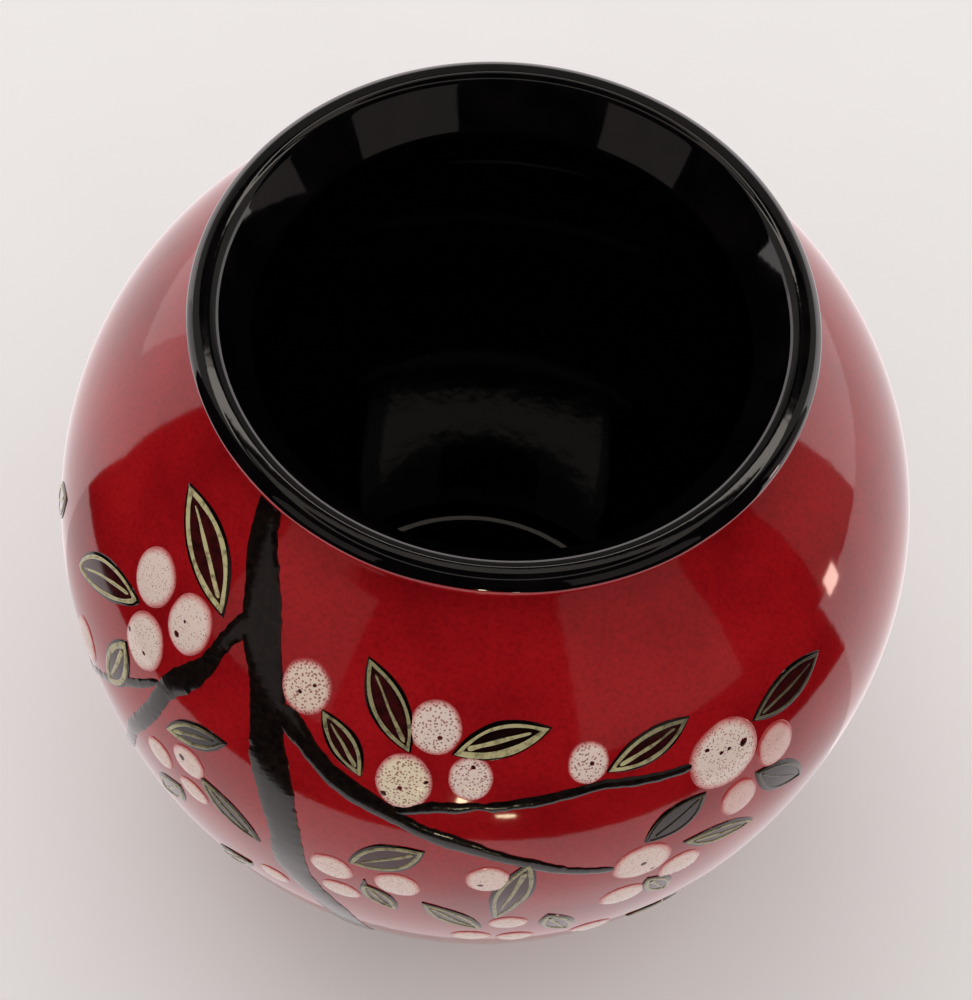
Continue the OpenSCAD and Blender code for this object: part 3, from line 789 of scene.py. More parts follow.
@dataclass(frozen=True)
class Bough:
    """One or more brushed strokes, each through stations of longitude, latitude and half width.

    Relief, step, bristle and the least half width are in millimetres: the stroke's height, the
    distance between its stations, and how far its edges stray.
    """

    pot: PotProfile
    node: str
    paths: tuple[tuple[tuple[float, float, float], ...], ...]
    relief: float = 0.42
    step_mm: float = 1.6
    sides: int = 14
    bristle: float = 0.42
    least_half: float = 0.4
    full_half: float = 2.0         # half width from which a stroke stands at its full height
    blunt_end: float = 0.35        # share of its width that a stroke has at its very end
    end_growth: float = 0.4        # share that it gains at each of the next stations

    def make(self) -> bpy.types.Object:
        """Builds and dresses the strokes."""
        bm = bmesh.new()
        bm.verts.layers.float.new("turn")
        bm.verts.layers.float.new("rim")
        for path in self.paths:
            self.stroke(bm, path)
        return place_piece(self.node + "_stroke", bm, [BRANCH_GLAZE], [self.node])

    def stations(self, path: Sequence[tuple[float, float, float]]) -> list[Vector]:
        """Fills a path with close stations, rounding its corners a little.

        Args:
            path: Longitude, latitude and half width of each station.

        Returns:
            The stations as vectors.
        """
        points = [Vector(p) for p in path]
        filled = []
        for a, b in zip(points, points[1:]):
            count = max(1, round(self.pot.span(a.xy, b.xy).length / self.step_mm))
            filled += [a.lerp(b, i / count) for i in range(count)]
        filled.append(points[-1])
        eased = [a.lerp((before + after) / 2, 0.5)
                 for before, a, after in zip(filled, filled[1:], filled[2:])]
        return [filled[0], *eased, filled[-1]]

    def stroke(self, bm: bmesh.types.BMesh, path: Sequence[tuple[float, float, float]]) -> None:
        """Adds one stroke.

        Args:
            bm: The mesh to add to.
            path: Its stations.
        """
        pot, stations = self.pot, self.stations(path)
        last = len(stations) - 1

        def put(station: int, angle: float) -> Vector:
            """The point of the stroke's skin at a station and an angle round it."""
            here = stations[station]
            along = pot.span(stations[max(station - 1, 0)].xy, stations[min(station + 1, last)].xy)
            along.normalize()
            side = math.copysign(1.0, math.cos(angle))
            seed = Vector((here.x * 0.9, here.y * 0.9, 7.0 * side))
            ragged = noise.noise(seed) + 0.6 * noise.noise(seed * 3.1)
            end = min(1.0, self.blunt_end + self.end_growth * min(station, last - station))
            half = max(self.least_half, here.z + self.bristle * ragged) * end
            across = math.cos(angle) * half
            height = math.sin(angle)
            crown = self.relief * min(1.0, half / self.full_half)
            lift = crown * height if height > 0 else SUNK * (height - 0.5)
            return pot.on_skin(pot.moved(here.xy, -along.y * across, along.x * across), lift)

        turn, rim = (bm.verts.layers.float[name] for name in ("turn", "rim"))
        for vert in swept(bm, self.sides, len(stations), put):
            vert[rim] = abs(math.cos(vert[turn]))


@dataclass(frozen=True)
class Berry:
    """One drop of thick glaze: its place, and its size in millimetres.

    Pores, blush and straw say, from 0 to 1, how full of pores it is and how pink or yellow it fired.
    """

    lon: float
    lat: float
    width: float
    height: float
    pores: float = 0.5
    blush: float = 0.25
    straw: float = 0.0
    wobble: float = 0.02


@dataclass(frozen=True)
class Crater:
    """One burst bubble in a berry: its place and its size in millimetres."""

    lon: float
    lat: float
    size: float


@dataclass(frozen=True)
class BerryCluster:
    """A cluster of berries, with its burst bubbles."""

    pot: PotProfile
    node: str
    berries: tuple[Berry, ...]
    craters: tuple[Crater, ...] = ()
    relief: float = 0.78           # mm that a berry's crown stands above the coat
    segments: int = 44
    rings: int = 20
    pool_segments: int = 14
    pool_rings: int = 6
    pool_spread: float = 0.6       # share of a bubble's size that its pool reaches from its middle

    def make(self) -> bpy.types.Object:
        """Builds and dresses the cluster."""
        bm = bmesh.new()
        for layer in ("rim", "pores", "blush", "straw"):
            bm.verts.layers.float.new(layer)
        for berry in self.berries:
            self.drop(bm, berry)
        for crater in self.craters:
            self.burst(bm, crater)
        return place_piece(self.node + "_drops", bm, [BERRY_GLAZE, CRATER_GLAZE],
                           [self.node])

    def crown(self, share: float) -> float:
        """Height of a berry above the coat, at a share of its radius."""
        return self.relief * max(0.0, 1 - share ** 2) ** 0.75

    def drop(self, bm: bmesh.types.BMesh, berry: Berry) -> None:
        """Adds one berry: a sphere pressed onto the pot, with an uneven outline.

        Args:
            bm: The mesh to add to.
            berry: The berry.
        """
        rim, pores, blush, straw = (
            bm.verts.layers.float[name] for name in ("rim", "pores", "blush", "straw"))
        ball = bmesh.ops.create_uvsphere(bm, u_segments=self.segments, v_segments=self.rings,
                                         radius=1.0)["verts"]
        for vert in ball:
            x, y, z = vert.co
            share = math.hypot(x, y)
            angle = math.atan2(y, x)
            seed = Vector((math.cos(angle) * 1.3, math.sin(angle) * 1.3, berry.lon + berry.lat))
            uneven = 1 + berry.wobble * noise.noise(seed) * 2
            place = self.pot.moved((berry.lon, berry.lat), x * uneven * berry.width / 2,
                                   y * uneven * berry.height / 2)
            lift = self.crown(share) if z > 1e-4 else SUNK * (z - 1)
            vert.co = self.pot.on_skin(place, lift)
            vert[rim], vert[pores] = share, berry.pores
            vert[blush], vert[straw] = berry.blush, berry.straw

    def burst(self, bm: bmesh.types.BMesh, crater: Crater) -> None:
        """Adds one burst bubble: a small pool that lies in the berry's crown.

        Args:
            bm: The mesh to add to.
            crater: The bubble.
        """
        home = min(self.berries, key=lambda b: math.hypot(b.lon - crater.lon, b.lat - crater.lat))
        gap = self.pot.span((home.lon, home.lat), (crater.lon, crater.lat))
        pool = bmesh.ops.create_uvsphere(bm, u_segments=self.pool_segments,
                                         v_segments=self.pool_rings, radius=1.0)["verts"]
        for vert in pool:
            x, y, z = vert.co
            angle = math.atan2(y, x)
            seed = Vector((math.cos(angle), math.sin(angle), crater.lon * 3))
            uneven = (1 + 0.35 * noise.noise(seed)) * crater.size * self.pool_spread
            right, up = x * uneven, y * uneven
            share = math.hypot((gap.x + right) / (home.width / 2), (gap.y + up) / (home.height / 2))
            lift = self.crown(share) + (0.05 * z if z > 0 else 0.25 * z)
            vert.co = self.pot.on_skin(self.pot.moved((crater.lon, crater.lat), right, up), lift)
        for face in {f for vert in pool for f in vert.link_faces}:
            face.material_index = 1


@dataclass(frozen=True)
class Leaf:
    """One leaf, from its stalk to its tip.

    The width, the sideways bow and the width of its trailed lines are in millimetres. Line is how
    strong the khaki of its lines is, ground how much red its middle shows, fade the share of the
    khaki that is lost by the tip, and heavy how much wider the line runs on the leaf's right side
    than on its left. A blunt leaf, below 1, has rounder ends.
    """

    stalk_lon: float
    stalk_lat: float
    tip_lon: float
    tip_lat: float
    width: float
    bow: float
    line_w: float = 1.1
    line: float = 0.6
    ground: float = 1.0
    fade: float = 0.0
    heavy: float = 0.0
    blunt: float = 1.0

    @property
    def stalk(self) -> Place:
        """Place of the stalk's end."""
        return self.stalk_lon, self.stalk_lat

    @property
    def tip(self) -> Place:
        """Place of the tip."""
        return self.tip_lon, self.tip_lat


@dataclass(frozen=True)
class LeafSpray:
    """A group of leaves: the dark grounds are one piece, and the khaki lines on them another."""

    pot: PotProfile
    name: str
    leaves: tuple[Leaf, ...]
    ground_lift: float = 0.26      # mm that a ground stands above the coat
    line_lift: float = 0.24        # mm that a line stands above its ground
    margin: float = 0.8            # mm of ground outside the outline
    longest_reach: float = 1.06    # share of a leaf's length that its ground may have
    ground_segments: int = 56
    ground_rings: int = 16
    line_sides: int = 10
    outline_steps: int = 72
    midrib_stations: int = 26

    def make(self) -> list[bpy.types.Object]:
        """Builds and dresses both pieces."""
        grounds, lines = bmesh.new(), bmesh.new()
        for bm in (grounds, lines):
            for layer in ("turn", "inset", "shade"):
                bm.verts.layers.float.new(layer)
        for leaf in self.leaves:
            self.ground(grounds, leaf)
            self.outline(lines, leaf)
            self.midrib(lines, leaf)
        return [
            place_piece(f"leaves_{self.name}_ground", grounds, [LEAF_GROUND],
                        [f"leaves_{self.name}"]),
            place_piece(f"leaf_lines_{self.name}_trail", lines, [LEAF_LINE],
                        [f"leaf_lines_{self.name}"]),
        ]

    def half(self, leaf: Leaf) -> float:
        """Half of a leaf's length."""
        return self.pot.span(leaf.stalk, leaf.tip).length / 2

    def inset(self, leaf: Leaf, depth: float) -> float:
        """How far the tip draws back when the outline is shrunk by a depth."""
        return depth * math.hypot(1, self.half(leaf) / leaf.width)

    def fullness(self, leaf: Leaf, along: float) -> float:
        """Share of its full width that a leaf has, from -1 at the stalk to 1 at the tip."""
        return max(0.0, 1 - along * along) ** leaf.blunt

    def strength(self, leaf: Leaf, along: float) -> float:
        """How khaki a leaf's lines are, from -1 at the stalk to 1 at the tip."""
        return leaf.line * (1 - leaf.fade * min(1.0, max(0.0, (along + 1) / 2)))

    def at(self, leaf: Leaf, along: float, side: float, lift: float) -> Vector:
        """A point of a leaf.

        Args:
            leaf: The leaf.
            along: From -1 at the stalk to 1 at the tip.
            side: Millimetres to the right of the midrib.
            lift: Millimetres above the red glaze.

        Returns:
            The point in metres.
        """
        line = self.pot.span(leaf.stalk, leaf.tip)
        half, line = line.length / 2, line.normalized()
        off = side + leaf.bow * (1 - along * along)
        middle = ((leaf.stalk_lon + leaf.tip_lon) / 2, (leaf.stalk_lat + leaf.tip_lat) / 2)
        place = self.pot.moved(middle, line.x * along * half + line.y * off,
                               line.y * along * half - line.x * off)
        return self.pot.on_skin(place, lift)

    def ground(self, bm: bmesh.types.BMesh, leaf: Leaf) -> None:
        """Adds a leaf's ground: a sphere pressed flat and pinched to two tips.

        Args:
            bm: The mesh to add to.
            leaf: The leaf.
        """
        inset, shade = (bm.verts.layers.float[name] for name in ("inset", "shade"))
        half_w = leaf.width / 2 + self.margin
        reach = min(1 + self.inset(leaf, self.margin) / self.half(leaf), self.longest_reach)
        ball = bmesh.ops.create_uvsphere(bm, u_segments=self.ground_segments,
                                         v_segments=self.ground_rings, radius=1.0)["verts"]
        for vert in ball:
            x, y, z = vert.co
            widest = math.sqrt(max(1 - x * x, 1e-9))
            share = y / widest
            seed = Vector((leaf.stalk_lon + x * 2, math.copysign(1, y) * 5, leaf.tip_lat))
            half_here = (half_w + 0.25 * noise.noise(seed)) * self.fullness(leaf, x)
            flat = min(1.0, max(z, 0) * 3)
            lift = self.ground_lift * flat ** 0.5 if z > 1e-4 else SUNK * (z - 1)
            vert.co = self.at(leaf, x * reach, share * half_here, lift)
            vert[inset] = (1 - abs(share)) * half_here
            vert[shade] = leaf.ground

    def outline(self, bm: bmesh.types.BMesh, leaf: Leaf) -> None:
        """Adds a leaf's outline: a spun ring, drawn out to the leaf's shape.

        Args:
            bm: The mesh to add to.
            leaf: The leaf.
        """
        shade = bm.verts.layers.float["shade"]
        upright = Matrix.Translation((1, 0, 0)) @ Matrix.Rotation(math.pi / 2, 4, "X")
        ring = bmesh.ops.create_circle(bm, radius=0.5, segments=self.line_sides,
                                       matrix=upright)["verts"]
        edges = list({e for vert in ring for e in vert.link_edges})
        before = set(bm.verts) - set(ring)
        bmesh.ops.spin(bm, geom=ring + edges, cent=(0, 0, 0), axis=(0, 0, 1), angle=math.tau,
                       steps=self.outline_steps, use_merge=True, use_duplicate=False)
        for vert in set(bm.verts) - before:
            angle = math.atan2(vert.co.y, vert.co.x)
            out, height = math.hypot(vert.co.x, vert.co.y) - 1, vert.co.z
            seed = Vector((math.cos(angle) * 2 + leaf.stalk_lon, math.sin(angle) * 2, leaf.tip_lat))
            along, heavier = -math.cos(angle), 1 + leaf.heavy * math.sin(angle)
            line_w = leaf.line_w * (1 + 0.35 * noise.noise(seed)) * heavier
            depth = leaf.line_w / 2 - out * line_w
            scale = 1 - self.inset(leaf, depth) / self.half(leaf)
            side = math.copysign((leaf.width / 2 - depth) * self.fullness(leaf, along),
                                 math.sin(angle))
            lift = self.ground_lift + self.line_lift * (height * 2 if height > 0 else height)
            vert.co = self.at(leaf, along * scale, side, lift)
            vert[shade] = self.strength(leaf, along)

    def midrib(self, bm: bmesh.types.BMesh, leaf: Leaf) -> None:
        """Adds a leaf's midrib, which tapers to the tip.

        Args:
            bm: The mesh to add to.
            leaf: The leaf.
        """
        shade = bm.verts.layers.float["shade"]
        count, sides = self.midrib_stations, self.line_sides
        clear_of_outline = leaf.line_w + 0.3
        reach = 1 - self.inset(leaf, clear_of_outline) / self.half(leaf)

        def put(station: int, angle: float) -> Vector:
            """The point of the midrib's skin at a station and an angle round it."""
            share = station / (count - 1)
            along = reach * (-0.93 + 1.76 * share)
            seed = Vector((leaf.stalk_lon, share * 4, leaf.tip_lat))
            width = leaf.line_w * (0.56 - 0.28 * share) * (1 + 0.4 * noise.noise(seed))
            if station in (0, count - 1):
                width *= 0.4
            sway = 0.25 * noise.noise(seed * 0.7)
            height = math.sin(angle)
            lift = self.ground_lift + self.line_lift * (height if height > 0 else height * 0.5)
            return self.at(leaf, along, sway + math.cos(angle) * width, lift)

        for number, vert in enumerate(swept(bm, sides, count, put)):
            vert[shade] = self.strength(leaf, 2 * (number // sides) / count - 1)


# ------------------------------------------------------------------------------------- what grows where

# Strokes, each station a longitude, a latitude and a half width in millimetres
BOUGHS = {
    "trunk": ((
        (-44.5, 53.8, 3), (-42, 50, 3.2), (-39.5, 47, 3.8), (-36.5, 44, 4.4), (-34, 41, 4.8),
        (-32.5, 38, 5.4), (-29.8, 34.5, 4.7), (-28, 31.5, 4.6), (-26.8, 28.5, 4.8), (-26, 25, 4.4),
        (-24.7, 21, 5.4), (-23.2, 17, 5.2), (-22.2, 13, 4.9), (-21.2, 9.5, 4.5), (-20.6, 5.5, 4.5),
        (-20.4, 2, 4.7), (-20, -2, 5), (-17.8, -6, 4.4), (-15, -11, 4.6), (-13.5, -16, 4.2),
        (-12.5, -23, 4.8), (-13.5, -31, 5), (-11.5, -39, 5.6), (-12.5, -47, 6.2), (-12, -54, 7),
    ),),
    "left_bough": ((
        (-33.6, 38.8, 3.2), (-35.6, 36.2, 2.5), (-36.5, 33.5, 2), (-37, 31.2, 2.1),
        (-37.4, 28.5, 2.4), (-38.8, 25.4, 3.2), (-40, 23, 3.5), (-41.3, 20.8, 3), (-42, 18.5, 2.6),
        (-43, 13, 2.5), (-44.6, 8, 2.4), (-46.4, 3, 2.3), (-48, -2, 2.1), (-50, -7, 1.9),
        (-54, -13, 1.6), (-57, -18, 1.1),
    ),),
    "left_fork": ((
        (-43.4, 19.2, 1.1), (-45.5, 16, 1.3), (-47.7, 13, 1.3), (-50, 9.8, 1.2), (-52.5, 6.3, 1.3),
        (-55.5, 2, 1.2), (-59, -3, 1.1), (-64, -6, 1), (-70, -7, 0.8),
    ),),
    "right_bough": ((
        (-25.6, 30.2, 3.8), (-22.8, 28.4, 3.4), (-20.5, 26.8, 2.7), (-17.7, 24.6, 2.7),
        (-14.5, 22.7, 3.3), (-11, 21.3, 3.1), (-7, 19.6, 2.4), (-4, 18, 2.1), (0, 16.6, 2.8),
        (3.3, 15.3, 2.2), (6, 13.9, 1.9), (9, 12.6, 2), (11.5, 11.1, 1.9), (14.5, 9.4, 1.6),
        (17.5, 8.2, 1.4), (21.2, 6.9, 1.3),
    ),),
    "upper_twig": ((
        (-8.6, 20.2, 1.5), (-5.4, 21.6, 1.5), (-2.5, 22.7, 1.7), (0, 22.9, 1.7), (2.8, 23.5, 1.1),
        (5, 23.5, 1.5), (10, 24.2, 1.7), (15, 25.1, 1.5), (19.5, 25.6, 1.4), (23, 24.8, 1.5),
        (27, 24.2, 1.4), (32.4, 23.5, 1.2),
    ),),
    "back_trunk": ((
        (160, -54, 6.5), (163, -44, 5.6), (166, -34, 5), (164, -24, 4.8), (168, -14, 5.2),
        (172, -4, 4.6), (171, 6, 4.2), (175, 16, 4.4), (178, 26, 3.4), (184, 36, 3),
        (188, 46, 2.4), (190, 51, 2),
    ),),
    "back_left_bough": ((
        (176, 13.5, 2.8), (184, 18, 2.8), (196, 19, 2.7), (208, 24, 2.2), (220, 24, 1.9),
        (232, 18, 1.4), (242, 12.5, 1),
    ),),
    "back_right_bough": ((
        (171, -7, 3), (165, -3, 3), (157, 2, 3), (146, 6, 2.6), (134, 12, 2.3), (124, 13, 1.8),
        (112, 7, 1.4), (104, 3, 1.1),
    ),),
    "back_low_boughs": (
        ((161, -26, 2.3), (151, -22, 2.2), (140, -16, 1.9), (128, -16, 1.5), (118, -11, 1.1)),
        ((168, -34, 2.3), (179, -28, 2.2), (192, -20, 2), (205, -18, 1.6), (217, -12, 1.1)),
    ),
}

# Longitude, latitude, width and height of each berry, and where they differ its pores, blush and straw
BERRIES = {
    "berries_left": (
        (-51.3, 31.6, 13.2, 15.6, 0.5, 0.15), (-42.6, 31.2, 12.8, 16.4, 0.5, 0.15),
        (-47.8, 22.5, 13.3, 17.2, 0.55, 0.1),
    ),
    "berries_by_trunk": (
        (-22.8, 34.6, 12.2, 14.2, 1.0, 0.35, 0.35),
    ),
    "berries_centre": (
        (-3.7, 34.8, 12.1, 14.1, 0.9, 0.1), (-6.8, 25.9, 13, 16, 0.95, 0.0, 0.7),
        (1.8, 28, 10.1, 12.8, 0.9, 0.1),
    ),
    "berries_right": (
        (17.4, 29.5, 9.5, 12, 0.95, 0.15), (36.4, 22.8, 19, 21, 0.75, 0.1),
        (44.3, 18.6, 11.2, 15, 0.4, 0.7), (38.1, 12.5, 10.9, 14, 0.4, 0.7),
    ),
    "berries_low_left": (
        (-35.8, 9.4, 10.6, 11.4), (-40.9, 4.2, 9.4, 11.4), (-34.8, 2.2, 9.8, 9.4),
        (-59.5, 5, 12, 15), (-23, -8, 8.5, 9.5),
    ),
    "berries_low_centre": (
        (-14.4, 3.2, 11.2, 12.4), (-6, 3.3, 11.6, 12.4), (-13.2, -2.9, 10.4, 10.4),
        (5.1, 8.1, 11, 12),
    ),
    "berries_low_right": (
        (24.6, 6.7, 15.4, 16.2), (23, -2.8, 12, 13.4), (30.2, 0.9, 11.6, 13.8),
    ),
    "berries_under": (
        (8.5, -6.2, 10, 11), (4, -12.2, 10.5, 11), (10, -13, 10, 11), (20.8, -14.5, 11.5, 12.5),
    ),
    "berries_back_left": (
        (201, 27.5, 12.5, 14), (211, 31.5, 11, 12.5), (219.5, 29, 11.5, 13), (246, 13.5, 12.5, 14),
        (253, 8, 12, 13.5), (246, 3.5, 11, 12.5),
    ),
    "berries_back_right": (
        (97.5, 4, 13, 14.5), (92, -2, 12, 14), (101, -4.5, 11, 12.5), (127, 17.8, 11, 12.5),
        (138, 17, 12, 13.5), (147, 12.8, 10.5, 12),
    ),
    "berries_back_low": (
        (112, -8, 12, 13), (108, -14.5, 11, 12), (132, -9.5, 11, 12), (144, -26, 11.5, 12.5),
        (197, -13, 11.5, 12.5), (222, -8.5, 12, 13), (227, -14.5, 11, 12),
    ),
}

# Longitude, latitude and size of each burst bubble
CRATERS = {
    "berries_left": ((-43.5, 28.8, 1.3), (-43.2, 31.4, 0.8), (-50.8, 21.6, 1.2), (-46.9, 21.3, 0.9)),
    "berries_by_trunk": ((-23.3, 33.8, 0.9), (-21.6, 35.5, 0.8)),
    "berries_centre": ((-2.9, 33.7, 1.0), (-9.1, 23.5, 1.3), (-7.1, 25.2, 1.0), (-3.9, 26.7, 0.9),
                       (2, 30, 0.9)),
    "berries_right": ((17.8, 29.6, 1.0), (39.3, 23.4, 1.9), (40.7, 21.2, 1.7), (35.8, 23.9, 1.0),
                      (37, 23.9, 0.9), (33.9, 25.4, 1.0)),
    "berries_low_left": ((-36.7, 9.9, 1.5),),
    "berries_low_centre": ((4.2, 7.1, 1.1),),
    "berries_low_right": ((24.6, 7, 1.3), (26, 4.2, 1.1)),
    "berries_back_left": ((202, 28.3, 1.1), (220.3, 29.8, 0.9), (247, 14.5, 1.2), (252.4, 7, 0.8)),
    "berries_back_right": ((98.2, 5, 1.2), (92.4, -3, 0.9), (127.4, 18.6, 0.9), (138.6, 16.2, 1.1)),
    "berries_back_low": ((112.6, -7.2, 1.0), (132.7, -9.8, 0.9), (222.4, -8, 1.2)),
}

# Stalk, tip, width and bow of each leaf, and where they differ the rest of the values in Leaf's order
LEAVES = {
    "left": (
        (-38.6, 36.2, -56.6, 44, 10.4, 2, 1.3, 1.0, 1.0),
        (-52, 26.3, -65, 15.8, 9, 2, 1.0, 0.9, 1.0, 0.0, 0.0, 0.72),
        (-50.6, 18.6, -52.2, 6.5, 8.6, -0.7, 1.5, 0.85, 0.4, 0.0, 0.0, 0.85),
    ),
    "centre": (
        (-12.4, 25.2, -19.4, 32.5, 6.2, 0.7, 0.9, 0.65, 0.8, 0.2),
        (-6.6, 30.8, -15, 41.5, 7.8, 0.3, 0.85, 0.65, 1.0, 0.2),
        (-0.8, 31.5, 12.2, 35.3, 7.8, -1, 1.3, 0.95, 0.15, 0.15, 0.4),
    ),
    "right": (
        (20, 27.6, 32, 31.6, 7.4, 0, 1.0, 0.95, 0.6, 0.7),
        (41.7, 25.6, 54.6, 27.2, 9, 0, 0.8, 0.22, 0.8, 0.6),
        (33, 17.6, 24.8, 12, 8.8, 0, 0.7, 0.1, 0.3, 0.5),
        (41, 15.5, 49, 5.5, 8.2, 0, 0.8, 0.1, 0.3, 0.3),
    ),
    "low_left": (
        (-40, 12.5, -31, 19.2, 6.8, -0.5, 1.1, 0.9, 0.15, 1.0),
        (-33.5, 8.3, -24.5, 0.5, 7.6, 0, 1.0, 0.5, 0.5, 0.5), (-37.5, 0, -42, -8, 8, 0),
        (-75.5, 15, -79.5, 5, 8, 1), (-27, -9.5, -33, -16, 7.6, 1),
    ),
    "low_centre": (
        (-3.2, 13.6, -12.1, 6.9, 9.4, 0), (-10.2, 1.4, -6, -5, 6.2, 0.5),
        (-2.6, -1.2, 5, -8.2, 7, 0), (10, 10.4, 6.6, -2.4, 8, 0),
    ),
    "low_right": (
        (30.3, 8, 41, 2.6, 7, 0), (26, 0.5, 29.6, -6.6, 6.2, 0), (13.5, -4.4, 17, -11.4, 7, 0.5),
        (26.5, -15.5, 36, -19.5, 8, 0.6),
    ),
    "back": (
        (233, 15.5, 227.5, 21.5, 7.6, 0.6), (256.5, 4.5, 265, -1.5, 8.4, -1),
        (212, 21.5, 221, 15.5, 8, 0.6), (190, 22.5, 196, 34, 8, 0.6),
        (110.5, 8.5, 115.5, 15.5, 7.6, -0.6), (88, -5.5, 80, -11, 8, 0.6),
        (129, 9.5, 121, 2, 7.8, 0.5), (152, 0.5, 147, -8.5, 8, 0.8),
        (121, -16, 116, -25, 7.8, 0.6), (136, -18, 130, -27, 7.6, 0.4),
        (185, -24, 192, -33, 8, 0.6), (208, -18.5, 214, -27, 7.8, 0.5), (103, -11, 92, -8, 8, 0.8),
        (229, -10, 240, -7, 8, -0.8), (155, -24, 150, -34, 8, 0.5),
    ),
}


# ------------------------------------------------------------------------------------- the studio


@dataclass(frozen=True)
class Card:
    """A curved card or flag round the vase, which only the glazes' reflections see.

    Start and end are azimuths from the front, growing to the right. The rest is in metres.
    """

    name: str
    finish: Finish
    start: float
    end: float
    radius: float
    low: float
    high: float
    apron: float = 0.0

    def mesh(self) -> bmesh.types.BMesh:
        """The card's mesh: an upright line, with an apron along the floor, turned about the axis."""
        bm = bmesh.new()
        line = [(self.radius, self.low), (self.radius, self.high)]
        if self.apron:
            line.insert(0, (self.apron, self.low))
        first = Matrix.Rotation(math.radians(self.start - 90), 3, "Z")
        verts = [bm.verts.new(first @ Vector((r, 0, z))) for r, z in line]
        edges = [bm.edges.new(pair) for pair in zip(verts, verts[1:])]
        bmesh.ops.spin(bm, geom=verts + edges, cent=(0, 0, 0), axis=(0, 0, 1),
                       angle=math.radians(self.end - self.start), steps=CARD_STEPS, use_merge=False,
                       use_duplicate=False)
        return bm


CARDS = (
    Card("front_flag", BLACK_CARD, -99, 106, 1.00, 0.002, 2.20, apron=0.36),
    Card("front_apron", PALE_CARD, -99, 84, 0.36, 0.002, 0.003, apron=0.10),
    Card("back_apron", SOFT_CARD, 84, 261, 0.985, 0.004, 0.005, apron=0.10),
    Card("back_haze", HAZE_CARD, 150, 210, 1.00, 0.50, 1.45),
    Card("back_flag", BLACK_CARD, 150, 210, 1.00, 1.45, 1.76),
    Card("right_haze", DIM_CARD, 106, 150, 1.00, 0.58, 1.76),
    Card("left_haze", DIM_CARD, 210, 261, 1.00, 0.58, 1.76),
    Card("high_strip", STRIP_CARD, 112, 248, 1.00, 1.76, 1.95),
    Card("high_flag", BLACK_CARD, 106, 261, 1.00, 1.95, 2.20),
    Card("back_card", BRIGHT_CARD, 106, 244, 0.99, 0.0, 0.58),
    Card("left_card", SOFT_CARD, 244, 261, 0.99, 0.0, 0.58),
    Card("right_strip", FAINT_CARD, 86, 106, 0.98, 0.02, 0.62),
    Card("left_front_card", FAINT_CARD, -60, -28, 0.95, 0.13, 0.86),
    Card("right_front_card", FAINT_CARD, 25, 62, 0.95, 0.13, 0.96),
    Card("front_lamp", LAMP_CARD, 0.4, 2.4, 0.55, 0.020, 0.056),
    Card("low_lamp", LAMP_CARD, 8.0, 11.6, 0.43, 0.036, 0.043),
    Card("side_lamp", WARM_LAMP_CARD, 85.5, 89.5, 0.56, 0.070, 0.120),
)


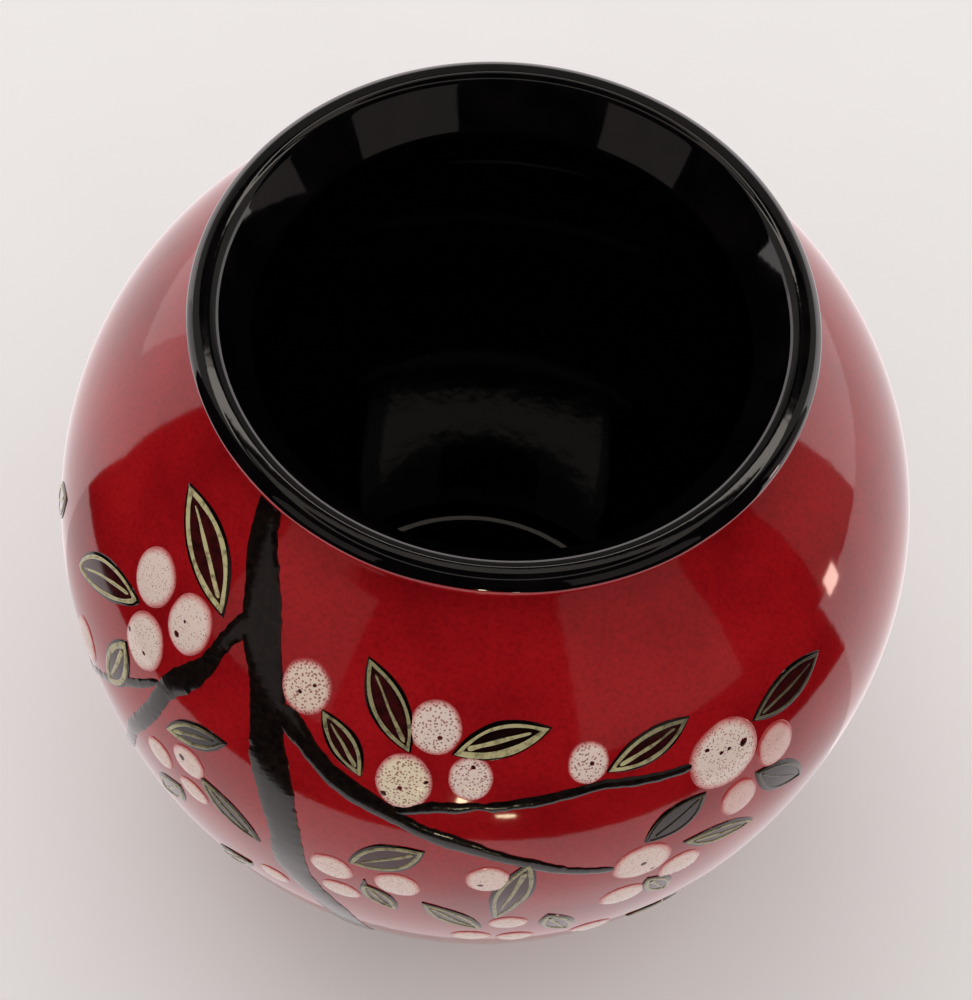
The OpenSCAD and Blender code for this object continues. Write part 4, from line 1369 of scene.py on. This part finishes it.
@dataclass(frozen=True)
class Studio:
    """A pale floor, even soft light, and cards and flags that shape what the gloss reflects.

    Places and lengths are in metres, and the softbox's power is in watts.
    """

    lens_mm: float = 75.08
    camera_at: tuple[float, float, float] = (0.0, -0.2685, 0.6150)
    looks_at: tuple[float, float, float] = (0.0, 0.0, 0.135)
    camera_roll: float = 5.96
    floor_half: float = 3.0
    ceiling_z: float = 2.2
    ceiling_r: float = 1.0
    ceiling_hole_r: float = 0.7
    sky_light: float = 0.86
    softbox_at: tuple[float, float, float] = (-0.45, 0.75, 1.7)
    softbox_size: float = 1.2
    softbox_power: float = 5.5

    def build(self) -> None:
        """Sets up everything round the vase."""
        self.floor()
        for card in CARDS:
            self.show(card.name, card.mesh(), card.finish, reflected_only=True)
        self.ceiling()
        self.sky()
        self.lamps()
        self.camera()
        bpy.context.scene.view_settings.view_transform = "Standard"

    def show(self, name: str, bm: bmesh.types.BMesh, finish: Finish,
             reflected_only: bool) -> bpy.types.Object:
        """Adds a studio surface.

        Args:
            name: Its name.
            bm: Its mesh in metres, which is freed.
            finish: Its finish.
            reflected_only: True for a card that only reflections see.

        Returns:
            The new object.
        """
        mesh = bpy.data.meshes.new(name)
        bm.to_mesh(mesh)
        bm.free()
        mesh.materials.append(finish.material())
        made = bpy.data.objects.new(name, mesh)
        bpy.context.scene.collection.objects.link(made)
        if reflected_only:
            made.visible_camera = made.visible_diffuse = made.visible_shadow = False
            made.visible_transmission = made.visible_volume_scatter = False
        return made

    def floor(self) -> None:
        """The pale floor."""
        bm = bmesh.new()
        bmesh.ops.create_grid(bm, x_segments=1, y_segments=1, size=self.floor_half)
        self.show("studio_floor", bm, PALE_PAPER, reflected_only=False)

    def ceiling(self) -> None:
        """The dim ring overhead, which closes the ring of cards, with a black disc over its middle."""
        for name, radius, finish, drop in (("top_card", self.ceiling_r, TOP_CARD, 0.0),
                                           ("top_flag", self.ceiling_hole_r, BLACK_CARD, 0.01)):
            bm = bmesh.new()
            bmesh.ops.create_circle(bm, cap_ends=True, radius=radius, segments=48,
                                    matrix=Matrix.Translation((0, 0, self.ceiling_z - drop)))
            self.show(name, bm, finish, reflected_only=True)

    def sky(self) -> None:
        """Even light from all round; the camera sees it plain and pale."""
        world = bpy.data.worlds.new("soft_studio")
        world.use_nodes = True
        tree = world.node_tree
        tree.nodes.clear()
        soft = add_node(tree, "ShaderNodeBackground", {
            "Color": linear("#fffefd"), "Strength": self.sky_light})
        plain = add_node(tree, "ShaderNodeBackground", {"Color": linear("#ebe8e6"), "Strength": 1.0})
        path = add_node(tree, "ShaderNodeLightPath")
        mixed = add_node(tree, "ShaderNodeMixShader", {
            0: path.outputs["Is Camera Ray"], 1: soft.outputs[0], 2: plain.outputs[0]})
        add_node(tree, "ShaderNodeOutputWorld", {"Surface": mixed.outputs[0]})
        bpy.context.scene.world = world

    def lamps(self) -> None:
        """One large soft box, high behind on the left, for a little shape on the shoulder."""
        light = bpy.data.lights.new("high_softbox", "AREA")
        light.shape, light.size, light.energy = "SQUARE", self.softbox_size, self.softbox_power
        light.color = linear("#fbfbff")[:3]
        lamp = bpy.data.objects.new("high_softbox", light)
        lamp.location = self.softbox_at
        towards = Vector(self.looks_at) - lamp.location
        lamp.rotation_mode = "QUATERNION"
        lamp.rotation_quaternion = towards.to_track_quat("-Z", "Y")
        lamp.visible_glossy = False
        bpy.context.scene.collection.objects.link(lamp)

    def camera(self) -> None:
        """The camera, high in front and rolled a little."""
        data = bpy.data.cameras.new("view_camera")
        data.lens, data.sensor_width, data.sensor_fit = self.lens_mm, CAMERA_SENSOR_MM, "AUTO"
        data.clip_start, data.clip_end = 0.01, 50.0
        camera = bpy.data.objects.new("view_camera", data)
        ahead = (Vector(self.looks_at) - Vector(self.camera_at)).normalized()
        right = Vector((1, 0, 0))
        up = right.cross(ahead)
        c, s = cos_of(self.camera_roll), sin_of(self.camera_roll)
        axes = Matrix((c * right + s * up, c * up - s * right, -ahead)).transposed()
        camera.matrix_world = Matrix.Translation(self.camera_at) @ axes.to_4x4()
        bpy.context.scene.collection.objects.link(camera)
        bpy.context.scene.camera = camera


# ------------------------------------------------------------------------------------- main


def main() -> None:
    """Builds the vase and the studio, and reports each piece."""
    logging.basicConfig(level=logging.INFO, format="%(name)s: %(message)s")
    pot = PotProfile()
    Studio().build()
    ClayBody(pot).make()
    for coat in Coat:
        GlazeCoat(pot, coat).make()
    for node, paths in BOUGHS.items():
        Bough(pot, node, paths).make()
    for node, berries in BERRIES.items():
        craters = tuple(Crater(*c) for c in CRATERS.get(node, ()))
        BerryCluster(pot, node, tuple(Berry(*b) for b in berries), craters).make()
    for name, leaves in LEAVES.items():
        LeafSpray(pot, name, tuple(Leaf(*leaf) for leaf in leaves)).make()


if __name__ == "__main__":
    main()
